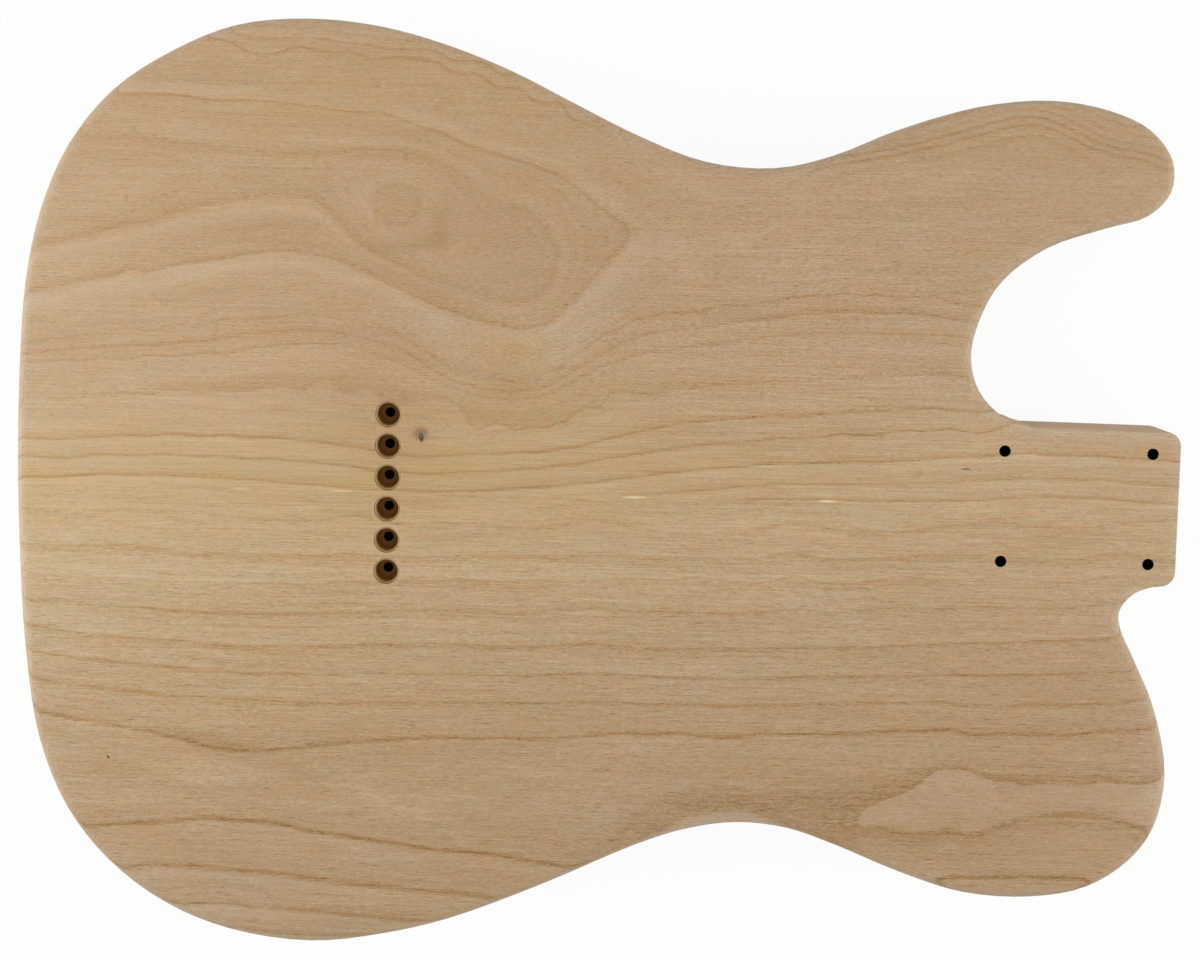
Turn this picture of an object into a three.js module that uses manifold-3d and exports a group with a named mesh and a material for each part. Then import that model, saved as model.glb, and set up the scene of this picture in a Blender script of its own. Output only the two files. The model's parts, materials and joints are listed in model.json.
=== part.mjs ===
// A bare solid guitar body with a single cutaway, glued up from two boards of
// light hardwood and routed for a bolt-on neck, two pickups and a control plate.
//
// Lengths are millimetres. The origin is on the front face, where the glue line
// crosses the row of string holes. +X runs to the neck, +Y to the treble side
// and +Z up to the back face, so the body lies on its front with its back up.

import * as THREE from 'three';
import { mergeVertices } from 'three/addons/utils/BufferGeometryUtils.js';
import Module from 'manifold-3d';

// Body blank
const BODY_THICKNESS = 44.45;
const FRONT_LENGTH = 271.5;
const TAIL_LENGTH = 126.8;
const TREBLE_WIDTH = 159.8;
const BASS_WIDTH = 158.4;
const EDGE_RADIUS = 3.2;
const GLUE_THICKNESS = 0.15;

// Neck pocket and heel
const POCKET_LENGTH = 76.2;
const POCKET_WIDTH = 55.6;
const POCKET_DEPTH = 15.9;
const POCKET_CORNER_RADIUS = 6;
const NECK_TAPER_DEGREES = 0.87;
const HEEL_CORNER_RADIUS = 5;
const HEEL_EDGE_RADIUS = 0.4;
const FEATHER_TRIM = 3;

// Round-over beside the heel: nothing at RUNOUT_START from it, full at RUNOUT_END
const RUNOUT_START = 1.5;
const RUNOUT_END = 10;

// Neck screws, measured from the heel end
const NECK_SCREW_CENTRE = 35;
const NECK_SCREW_SPACING_ALONG = 50.8;
const NECK_SCREW_SPACING_ACROSS = 38.1;
const NECK_SCREW_BORE = 4;

// Strings and the ferrules that anchor them in the back
const STRING_COUNT = 6;
const STRING_SPREAD = 53.975;
const STRING_BORE = 3.2;
const FERRULE_BORE = 7.7;
const FERRULE_BORE_DEPTH = 10;
const FERRULE_LIP_BORE = 8.85;
const FERRULE_LIP_DEPTH = 0.7;

// Neck pickup rout
const NECK_PICKUP_WALL = 12.7;
const NECK_PICKUP_LENGTH = 75;
const NECK_PICKUP_WIDTH = 24;
const NECK_PICKUP_RADIUS = 9.5;
const NECK_PICKUP_DEPTH = 16;

// Bridge pickup rout
const BRIDGE_PICKUP_X = 44;
const BRIDGE_PICKUP_LENGTH = 76;
const BRIDGE_PICKUP_WIDTH = 34;
const BRIDGE_PICKUP_RADIUS = 9;
const BRIDGE_PICKUP_DEPTH = 19;
const BRIDGE_PICKUP_SLANT_DEGREES = 15;

// Control cavity
const CONTROL_X = 14;
const CONTROL_Y = 62;
const CONTROL_LENGTH = 135;
const CONTROL_WIDTH = 33;
const CONTROL_RADIUS = 9.5;
const CONTROL_FLOOR = 6.35;

// Wiring ways
const CHANNEL_WIDTH = 12.7;
const CHANNEL_DEPTH = 14;
const LINK_BORE = 9.5;
const LINK_BORE_DEPTH = 10;
const JACK_BORE = 22.2;
const JACK_X = -42;

// Cutters run this far past the faces that they open
const OVERRUN = 5;

// Facets
const SPAN_STEPS = 4;
const EDGE_STEPS = 4;
const CORNER_STEPS = 5;
const LARGE_BORE_SIDES = 48;
const SMALL_BORE_SIDES = 28;

// Wood and glue
const TREBLE_BOARD_COLOUR = 0xb6966d;
const BASS_BOARD_COLOUR = 0xb4956e;
const GLUE_COLOUR = 0xc9ab7e;
const WOOD_ROUGHNESS = 0.72;
const GLUE_ROUGHNESS = 0.45;

// Where the cutaway and the lower notch run into the heel, along the front length
const TREBLE_HEEL_SHARE = 0.812;
const BASS_HEEL_SHARE = 0.968;

// The outline from the heel's treble side round to the tail, anticlockwise seen
// from the back: the share of the front length, or of the tail length where it
// is negative, then the share of the treble width
const TREBLE_OUTLINE_SHARES = [
  [0.775, 0.191],
  [0.744, 0.245],
  [0.732, 0.315],
  [0.740, 0.393],
  [0.767, 0.480],
  [0.823, 0.554],
  [0.895, 0.598],
  [0.948, 0.627],
  [0.975, 0.678],
  [0.975, 0.744],
  [0.947, 0.806],
  [0.895, 0.846],
  [0.820, 0.865],
  [0.729, 0.848],
  [0.645, 0.803],
  [0.564, 0.745],
  [0.478, 0.710],
  [0.391, 0.720],
  [0.308, 0.770],
  [0.228, 0.834],
  [0.149, 0.899],
  [0.066, 0.952],
  [-0.041, 0.988],
  [-0.230, 1.000],
  [-0.420, 0.983],
  [-0.590, 0.926],
  [-0.745, 0.843],
  [-0.864, 0.726],
  [-0.939, 0.587],
  [-0.978, 0.440],
  [-0.993, 0.290],
  [-1.000, 0.070],
];

// The outline from the tail round to the heel's bass side, with the share of
// the bass width second
const BASS_OUTLINE_SHARES = [
  [-0.994, -0.170],
  [-0.977, -0.380],
  [-0.941, -0.560],
  [-0.866, -0.709],
  [-0.752, -0.826],
  [-0.599, -0.918],
  [-0.420, -0.976],
  [-0.195, -1.000],
  [0.000, -0.981],
  [0.085, -0.944],
  [0.205, -0.862],
  [0.325, -0.768],
  [0.388, -0.731],
  [0.453, -0.714],
  [0.518, -0.725],
  [0.581, -0.761],
  [0.662, -0.817],
  [0.747, -0.861],
  [0.835, -0.868],
  [0.906, -0.843],
  [0.959, -0.782],
  [0.989, -0.707],
  [1.001, -0.584],
  [0.982, -0.437],
  [0.955, -0.335],
  [0.936, -0.267],
  [0.933, -0.229],
  [0.946, -0.190],
  [0.968, -0.172],
];

const wasm = await Module();
wasm.setup();

// A closed geometry as a solid that can be cut
function solid(geometry) {
  const bare = geometry.clone();
  bare.deleteAttribute('normal');
  bare.deleteAttribute('uv');
  const merged = mergeVertices(bare);
  return new wasm.Manifold(new wasm.Mesh({
    numProp: 3,
    vertProperties: new Float32Array(merged.attributes.position.array),
    triVerts: new Uint32Array(merged.index.array),
  }));
}

// A finished solid as a named piece with its own material
function piece(name, shape, colour, roughness) {
  const mesh = shape.getMesh();
  const geometry = new THREE.BufferGeometry();
  geometry.setAttribute('position', new THREE.BufferAttribute(mesh.vertProperties, mesh.numProp));
  geometry.setIndex(new THREE.BufferAttribute(mesh.triVerts, 1));
  geometry.computeVertexNormals();
  const material = new THREE.MeshStandardMaterial({ color: colour, roughness, metalness: 0 });
  const part = new THREE.Mesh(geometry, material);
  part.name = name;
  return part;
}

// Half the width of the neck's heel, which tapers towards the nut
function heelHalfWidth(x) {
  const pocketEnd = FRONT_LENGTH - POCKET_LENGTH;
  const taper = Math.tan(THREE.MathUtils.degToRad(NECK_TAPER_DEGREES));
  return POCKET_WIDTH / 2 - (x - pocketEnd) * taper;
}

// A table of shares as points of the plan
function planPoints(shares, width) {
  return shares.map(([along, across]) => {
    const x = along * (along > 0 ? FRONT_LENGTH : TAIL_LENGTH);
    return new THREE.Vector3(x, across * width, 0);
  });
}

// The quarter circle at one corner of the heel end, side 1 treble and -1 bass
function heelCorner(side) {
  const x = FRONT_LENGTH - HEEL_CORNER_RADIUS;
  const y = side * (heelHalfWidth(x) - HEEL_CORNER_RADIUS);
  const start = side > 0 ? 0 : -Math.PI / 2;
  const points = [];
  for (let i = 0; i <= CORNER_STEPS; i += 1) {
    const angle = start + (i / CORNER_STEPS) * (Math.PI / 2);
    const along = x + HEEL_CORNER_RADIUS * Math.cos(angle);
    const across = y + HEEL_CORNER_RADIUS * Math.sin(angle);
    points.push(new THREE.Vector2(along, across));
  }
  return points;
}

// The whole plan, anticlockwise seen from the back
function bodyOutline() {
  const trebleX = TREBLE_HEEL_SHARE * FRONT_LENGTH;
  const trebleStart = new THREE.Vector3(trebleX, heelHalfWidth(trebleX), 0);
  const bassX = FRONT_LENGTH - HEEL_CORNER_RADIUS;
  const bassEnd = new THREE.Vector3(bassX, -heelHalfWidth(bassX), 0);
  const knots = [
    trebleStart,
    ...planPoints(TREBLE_OUTLINE_SHARES, TREBLE_WIDTH),
    ...planPoints(BASS_OUTLINE_SHARES, BASS_WIDTH),
    bassEnd,
  ];
  const curve = new THREE.CatmullRomCurve3(knots, false, 'centripetal');
  const sweep = curve.getPoints((knots.length - 1) * SPAN_STEPS);
  const edge = sweep.slice(0, -1).map((point) => new THREE.Vector2(point.x, point.y));
  return [...heelCorner(1), ...edge, ...heelCorner(-1)];
}

// The round-over fades out beside the heel, whose edges are only eased
function edgeRadius(point) {
  if (point.x < 0) {
    return EDGE_RADIUS;
  }
  const gap = Math.abs(point.y) - heelHalfWidth(point.x);
  const fade = THREE.MathUtils.smoothstep(gap, RUNOUT_START, RUNOUT_END);
  return THREE.MathUtils.lerp(HEEL_EDGE_RADIUS, EDGE_RADIUS, fade);
}

// Outward directions at the corners of a closed anticlockwise outline, as long
// as the mitre there needs
function mitres(outline) {
  return outline.map((point, i) => {
    const before = outline[(i + outline.length - 1) % outline.length];
    const after = outline[(i + 1) % outline.length];
    const inward = point.clone().sub(before).normalize();
    const onward = after.clone().sub(point).normalize();
    const first = new THREE.Vector2(inward.y, -inward.x);
    const second = new THREE.Vector2(onward.y, -onward.x);
    const mitre = first.clone().add(second).normalize();
    return mitre.divideScalar(mitre.dot(first));
  });
}

// The blank: the outline at full thickness with both edges rounded over, built
// as a stack of rings from the front face to the back face
function bodyBlank() {
  const outline = bodyOutline();
  const directions = mitres(outline);
  const radii = outline.map(edgeRadius);
  const count = outline.length;
  const rings = [];
  for (let step = 0; step <= EDGE_STEPS; step += 1) {
    const angle = (step / EDGE_STEPS) * (Math.PI / 2);
    rings.push({ inset: 1 - Math.sin(angle), rise: 1 - Math.cos(angle) });
  }
  const levels = [
    ...rings.map((ring) => ({ ...ring, base: 0, sign: 1 })),
    ...rings.toReversed().map((ring) => ({ ...ring, base: BODY_THICKNESS, sign: -1 })),
  ];
  const positions = [];
  for (const level of levels) {
    outline.forEach((point, i) => {
      const inset = radii[i] * level.inset;
      const z = level.base + level.sign * radii[i] * level.rise;
      positions.push(point.x - directions[i].x * inset, point.y - directions[i].y * inset, z);
    });
  }
  const indices = [];
  for (let level = 0; level < levels.length - 1; level += 1) {
    for (let i = 0; i < count; i += 1) {
      const a = level * count + i;
      const b = level * count + ((i + 1) % count);
      indices.push(a, b, b + count, a, b + count, a + count);
    }
  }
  const top = (levels.length - 1) * count;
  for (const [a, b, c] of THREE.ShapeUtils.triangulateShape(outline, [])) {
    indices.push(a, c, b);
    indices.push(top + a, top + b, top + c);
  }
  const geometry = new THREE.BufferGeometry();
  geometry.setAttribute('position', new THREE.Float32BufferAttribute(positions, 3));
  geometry.setIndex(indices);
  return solid(geometry);
}

// A flat outline cut into the front face to a depth
function frontCut(shape, depth) {
  const geometry = new THREE.ExtrudeGeometry(shape, {
    depth: depth + OVERRUN,
    bevelEnabled: false,
    curveSegments: CORNER_STEPS,
  });
  geometry.translate(0, 0, -OVERRUN);
  return solid(geometry);
}

// A rectangle with round corners, turned about its middle
function roundedPlan(x, y, length, width, radius, degrees) {
  const corner = Math.min(radius, length / 2, width / 2);
  const right = length / 2 - corner;
  const top = width / 2 - corner;
  const middle = new THREE.Vector2(x, y);
  const turn = THREE.MathUtils.degToRad(degrees);
  const places = [[right, top], [-right, top], [-right, -top], [right, -top]];
  const points = [];
  places.forEach(([dx, dy], quarter) => {
    for (let i = 0; i <= CORNER_STEPS; i += 1) {
      const angle = (quarter + i / CORNER_STEPS) * (Math.PI / 2);
      const point = new THREE.Vector2(dx + corner * Math.cos(angle), dy + corner * Math.sin(angle));
      points.push(point.add(middle).rotateAround(middle, turn));
    }
  });
  return new THREE.Shape(points);
}

// A round hole along Z between two levels
function uprightBore(x, y, diameter, low, high, sides) {
  const geometry = new THREE.CylinderGeometry(diameter / 2, diameter / 2, high - low, sides);
  geometry.rotateX(Math.PI / 2);
  geometry.translate(x, y, (low + high) / 2);
  return solid(geometry);
}

// A round hole along Y between two distances from the centreline
function crossBore(x, z, diameter, near, far, sides) {
  const geometry = new THREE.CylinderGeometry(diameter / 2, diameter / 2, far - near, sides);
  geometry.translate(x, (near + far) / 2, z);
  return solid(geometry);
}

// The neck pocket: tapered like the neck, open at the heel end, and open at both
// sides past the last stretch of its walls, where they would be a feather edge
function neckPocket() {
  const inner = FRONT_LENGTH - POCKET_LENGTH;
  const outer = FRONT_LENGTH + OVERRUN;
  const trebleEnd = TREBLE_HEEL_SHARE * FRONT_LENGTH - FEATHER_TRIM;
  const bassEnd = BASS_HEEL_SHARE * FRONT_LENGTH - FEATHER_TRIM;
  const cornerX = inner + POCKET_CORNER_RADIUS;
  const cornerY = heelHalfWidth(cornerX) - POCKET_CORNER_RADIUS;
  const wide = heelHalfWidth(inner) + OVERRUN;
  const shape = new THREE.Shape();
  shape.moveTo(outer, -wide);
  shape.lineTo(outer, wide);
  shape.lineTo(trebleEnd, wide);
  shape.lineTo(trebleEnd, heelHalfWidth(trebleEnd));
  shape.lineTo(cornerX, heelHalfWidth(cornerX));
  shape.absarc(cornerX, cornerY, POCKET_CORNER_RADIUS, Math.PI / 2, Math.PI, false);
  shape.absarc(cornerX, -cornerY, POCKET_CORNER_RADIUS, Math.PI, Math.PI * 1.5, false);
  shape.lineTo(bassEnd, -heelHalfWidth(bassEnd));
  shape.lineTo(bassEnd, -wide);
  return frontCut(shape, POCKET_DEPTH);
}

// Clearance holes for the four neck screws, from the pocket floor to the back
function neckScrewBores() {
  const centre = FRONT_LENGTH - NECK_SCREW_CENTRE;
  const bores = [];
  for (const along of [-1, 1]) {
    for (const across of [-1, 1]) {
      const x = centre + (along * NECK_SCREW_SPACING_ALONG) / 2;
      const y = (across * NECK_SCREW_SPACING_ACROSS) / 2;
      const high = BODY_THICKNESS + OVERRUN;
      bores.push(uprightBore(x, y, NECK_SCREW_BORE, 0, high, SMALL_BORE_SIDES));
    }
  }
  return bores;
}

// One stepped hole for each string: a clear hole through the body, the bore for
// the ferrule's barrel and a shallow recess for its lip
function stringBores() {
  const bores = [];
  const high = BODY_THICKNESS + OVERRUN;
  for (let string = 0; string < STRING_COUNT; string += 1) {
    const y = STRING_SPREAD * (string / (STRING_COUNT - 1)) - STRING_SPREAD / 2;
    const barrelFloor = BODY_THICKNESS - FERRULE_BORE_DEPTH;
    const lipFloor = BODY_THICKNESS - FERRULE_LIP_DEPTH;
    bores.push(uprightBore(0, y, STRING_BORE, -OVERRUN, high, SMALL_BORE_SIDES));
    bores.push(uprightBore(0, y, FERRULE_BORE, barrelFloor, high, SMALL_BORE_SIDES));
    bores.push(uprightBore(0, y, FERRULE_LIP_BORE, lipFloor, high, SMALL_BORE_SIDES));
  }
  return bores;
}

// Where the neck pickup rout has its middle
function neckPickupX() {
  return FRONT_LENGTH - POCKET_LENGTH - NECK_PICKUP_WALL - NECK_PICKUP_WIDTH / 2;
}

function neckPickupRout() {
  const x = neckPickupX();
  const shape = roundedPlan(x, 0, NECK_PICKUP_WIDTH, NECK_PICKUP_LENGTH, NECK_PICKUP_RADIUS, 0);
  return frontCut(shape, NECK_PICKUP_DEPTH);
}

// The bridge pickup slants, its treble end nearer the string holes
function bridgePickupRout() {
  const shape = roundedPlan(
    BRIDGE_PICKUP_X,
    0,
    BRIDGE_PICKUP_WIDTH,
    BRIDGE_PICKUP_LENGTH,
    BRIDGE_PICKUP_RADIUS,
    BRIDGE_PICKUP_SLANT_DEGREES,
  );
  return frontCut(shape, BRIDGE_PICKUP_DEPTH);
}

function controlCavity() {
  const shape = roundedPlan(
    CONTROL_X,
    CONTROL_Y,
    CONTROL_LENGTH,
    CONTROL_WIDTH,
    CONTROL_RADIUS,
    0,
  );
  return frontCut(shape, BODY_THICKNESS - CONTROL_FLOOR);
}

// The wiring channel from the neck pickup's treble end to the control cavity
function wiringChannel() {
  const start = new THREE.Vector2(neckPickupX(), NECK_PICKUP_LENGTH / 2 - CHANNEL_WIDTH);
  const end = new THREE.Vector2(CONTROL_X + CONTROL_LENGTH / 2 - CHANNEL_WIDTH, CONTROL_Y);
  const run = end.clone().sub(start);
  const middle = start.clone().add(end).divideScalar(2);
  const degrees = THREE.MathUtils.radToDeg(run.angle());
  const length = run.length() + CHANNEL_WIDTH;
  const radius = CHANNEL_WIDTH / 2;
  const shape = roundedPlan(middle.x, middle.y, length, CHANNEL_WIDTH, radius, degrees);
  return frontCut(shape, CHANNEL_DEPTH);
}

// The hole that takes the bridge pickup's leads to the control cavity
function linkBore() {
  return crossBore(BRIDGE_PICKUP_X, LINK_BORE_DEPTH, LINK_BORE, 0, CONTROL_Y, SMALL_BORE_SIDES);
}

// The jack hole from the treble edge into the control cavity
function jackBore() {
  const far = TREBLE_WIDTH + OVERRUN;
  return crossBore(JACK_X, BODY_THICKNESS / 2, JACK_BORE, CONTROL_Y, far, LARGE_BORE_SIDES);
}

// The slab of space between two distances from the centreline, whose corners are
// placed outright so that neighbouring slabs share their faces exactly
function slice(low, high) {
  const geometry = new THREE.BoxGeometry(1, 1, 1);
  const corners = geometry.attributes.position;
  for (let i = 0; i < corners.count; i += 1) {
    const x = corners.getX(i) < 0 ? -TAIL_LENGTH - OVERRUN : FRONT_LENGTH + OVERRUN;
    const y = corners.getY(i) < 0 ? low : high;
    const z = corners.getZ(i) < 0 ? -OVERRUN : BODY_THICKNESS + OVERRUN;
    corners.setXYZ(i, x, y, z);
  }
  return solid(geometry);
}

const cuts = [
  neckPocket(),
  neckPickupRout(),
  bridgePickupRout(),
  controlCavity(),
  wiringChannel(),
  linkBore(),
  jackBore(),
  ...neckScrewBores(),
  ...stringBores(),
];

const routedBody = cuts.reduce((body, cut) => body.subtract(cut), bodyBlank());
const glueHalf = GLUE_THICKNESS / 2;
const trebleWood = routedBody.intersect(slice(glueHalf, TREBLE_WIDTH + OVERRUN));
const bassWood = routedBody.intersect(slice(-BASS_WIDTH - OVERRUN, -glueHalf));
const glueFilm = routedBody.intersect(slice(-glueHalf, glueHalf));

const guitarBody = new THREE.Group();
guitarBody.add(
  piece('treble_board', trebleWood, TREBLE_BOARD_COLOUR, WOOD_ROUGHNESS),
  piece('bass_board', bassWood, BASS_BOARD_COLOUR, WOOD_ROUGHNESS),
  piece('glue_line', glueFilm, GLUE_COLOUR, GLUE_ROUGHNESS),
);

export default guitarBody;
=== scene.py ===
"""A bare electric guitar body, two edge-glued alder boards, lying face down and seen from its back.

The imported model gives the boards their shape. Each board is copied, its faces are cut into small cells, and
every corner is told where it lies in the tree's growth rings, so one wood finish runs on from the back over
the rounded edges to the sides, the routs and the front. Colours are given in levels, the steps of a 0 to 255
picture, and picture coordinates are pixels of the 1200 by 960 photograph.
"""
import json
import logging
import math
from dataclasses import dataclass
from enum import Enum

import bpy
import numpy as np
from mathutils import Euler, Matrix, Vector
from mathutils.kdtree import KDTree


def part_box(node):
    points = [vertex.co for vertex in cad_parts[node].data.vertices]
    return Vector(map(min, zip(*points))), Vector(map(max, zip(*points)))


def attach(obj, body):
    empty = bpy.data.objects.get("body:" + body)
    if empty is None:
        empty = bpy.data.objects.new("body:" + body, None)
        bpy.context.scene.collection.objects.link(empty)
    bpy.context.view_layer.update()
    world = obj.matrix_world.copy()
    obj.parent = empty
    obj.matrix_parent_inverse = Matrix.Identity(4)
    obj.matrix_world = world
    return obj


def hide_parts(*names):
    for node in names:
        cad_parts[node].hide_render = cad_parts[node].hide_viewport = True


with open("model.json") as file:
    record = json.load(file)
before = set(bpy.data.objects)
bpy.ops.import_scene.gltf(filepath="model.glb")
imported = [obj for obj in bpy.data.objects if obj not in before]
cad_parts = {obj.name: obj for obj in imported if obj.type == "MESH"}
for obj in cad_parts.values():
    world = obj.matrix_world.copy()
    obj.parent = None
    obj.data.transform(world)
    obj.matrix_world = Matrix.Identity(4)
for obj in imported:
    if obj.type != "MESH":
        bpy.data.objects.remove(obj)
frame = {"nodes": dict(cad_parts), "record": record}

LOG = logging.getLogger("guitar_body")
MM = 0.001
ROOT = "root"
WHITE = (1.0, 1.0, 1.0, 1.0)

Point = tuple[float, float]
Socket = bpy.types.NodeSocket


class Facing(Enum):
    """Which way the ring number runs from the back face into a board."""

    FALLS_WITH_DEPTH = 1
    RISES_WITH_DEPTH = -1


@dataclass(frozen=True)
class CopyCamera:
    """The photograph's camera, worked out from the string holes and the neck screw holes."""

    frame_px: Point = (1200.0, 960.0)
    focal_px: float = 2500.0
    sensor_mm: float = 36.0
    place_mm: tuple[float, float, float] = (63.56, 95.88, 895.45)
    turn_degrees: tuple[float, float, float] = (-6.036, -0.477, 1.3035)

    def turn(self) -> Euler:
        """Returns the camera's rotation."""
        return Euler([math.radians(angle) for angle in self.turn_degrees])

    def on_plane(self, spots_px: np.ndarray, height_mm: float) -> np.ndarray:
        """Projects picture points onto a level plane of the object.

        Args:
            spots_px: One row of x and y for each picture point.
            height_mm: The plane's height above the front face.

        Returns:
            One row of x and y in millimetres for each point.
        """
        across = (np.asarray(spots_px, float) - np.array(self.frame_px) / 2) / self.focal_px
        rays = np.column_stack([across[:, 0], -across[:, 1], -np.ones(len(across))])
        rays = rays @ np.array(self.turn().to_matrix()).T
        reach = (height_mm - self.place_mm[2]) / rays[:, 2]
        return np.array(self.place_mm)[:2] + rays[:, :2] * reach[:, None]

    def axes(self, centre_px: Point, reach_px: Point, lean_degrees: float,
             height_mm: float) -> tuple[np.ndarray, np.ndarray, np.ndarray]:
        """Projects an oval onto a level plane of the object.

        Args:
            centre_px: Its middle.
            reach_px: Its half length and half width.
            lean_degrees: How far its length turns anticlockwise from the picture's width.
            height_mm: The plane's height above the front face.

        Returns:
            Its middle, half length and half width, as vectors in millimetres.
        """
        lean = math.radians(lean_degrees)
        middle = np.array(centre_px, float)
        length = np.array([math.cos(lean), -math.sin(lean)]) * reach_px[0]
        width = np.array([math.sin(lean), math.cos(lean)]) * reach_px[1]
        centre, end, side = self.on_plane(np.array([middle, middle + length, middle + width]), height_mm)
        return centre, end - centre, side - centre

    def build(self) -> bpy.types.Object:
        """Adds the scene's camera, set to the photograph's view.

        Returns:
            The camera.
        """
        lens = bpy.data.cameras.new("copy_camera")
        lens.sensor_width = self.sensor_mm
        lens.lens = self.focal_px / self.frame_px[0] * self.sensor_mm
        camera = bpy.data.objects.new("copy_camera", lens)
        camera.location = Vector(self.place_mm) * MM
        camera.rotation_euler = self.turn()
        bpy.context.scene.collection.objects.link(camera)
        bpy.context.scene.camera = camera
        return camera


@dataclass(frozen=True)
class GrainLine:
    """One growth line on the back face, followed in the photograph.

    Attributes:
        name: What the line is.
        ring: Its ring number. A ring ends at each whole number.
        spots_px: The pixels that it passes through.
        line: How dark the line itself is, in levels. A line of 0 only shapes the rings.
        late: How dark the late wood before it grows, in levels.
        early: How pale the early wood after it grows, in levels.
        fades_mm: How far the line fades out before it and after it.
    """

    name: str
    ring: float
    spots_px: tuple[Point, ...]
    line: float = 0.0
    late: float = 0.0
    early: float = 0.0
    fades_mm: Point = (0.9, 0.9)


@dataclass(frozen=True)
class TonePatch:
    """A soft lighter or darker place on the back face, mostly in the wood itself; a few are painted light or
    painted sheen.

    Attributes:
        name: What the patch is.
        centre_px: Its middle.
        reach_px: How far it spreads along and across its own length.
        lean_degrees: How far it leans, turning anticlockwise in the picture.
        levels: How much lighter it is, in levels.
        yellow: How much yellower it is, in levels of blue.
        red: How much redder it is, in levels.
        coarse: How much stronger its fibres show, as a share.
        straight: How much longer its fibres run, as a share.
    """

    name: str
    centre_px: Point
    reach_px: Point
    lean_degrees: float = 0.0
    levels: float = 0.0
    yellow: float = 0.0
    red: float = 0.0
    coarse: float = 0.0
    straight: float = 0.0


@dataclass(frozen=True)
class Mark:
    """A small natural mark on the back face, with a clear outline.

    Attributes:
        name: What the mark is.
        centre_px: Its middle.
        half_px: Its half length and half width.
        colour: Its colour.
        cover: How much of the wood's own colour it hides, from 0 to 1.
        core: Which share of its size is fully covered, before it fades out.
        lean_degrees: How far its length leans, turning anticlockwise in the picture.
    """

    name: str
    centre_px: Point
    half_px: Point
    colour: str
    cover: float
    core: float = 0.0
    lean_degrees: float = 0.0


@dataclass(frozen=True)
class Bore:
    """A drilled hole that opens on the back face.

    Attributes:
        centre_mm: Its axis.
        radius_mm: Its radius.
        lip_mm: The radius of the shallow step round it, or its own radius where it has none.
    """

    centre_mm: Point
    radius_mm: float
    lip_mm: float


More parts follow.
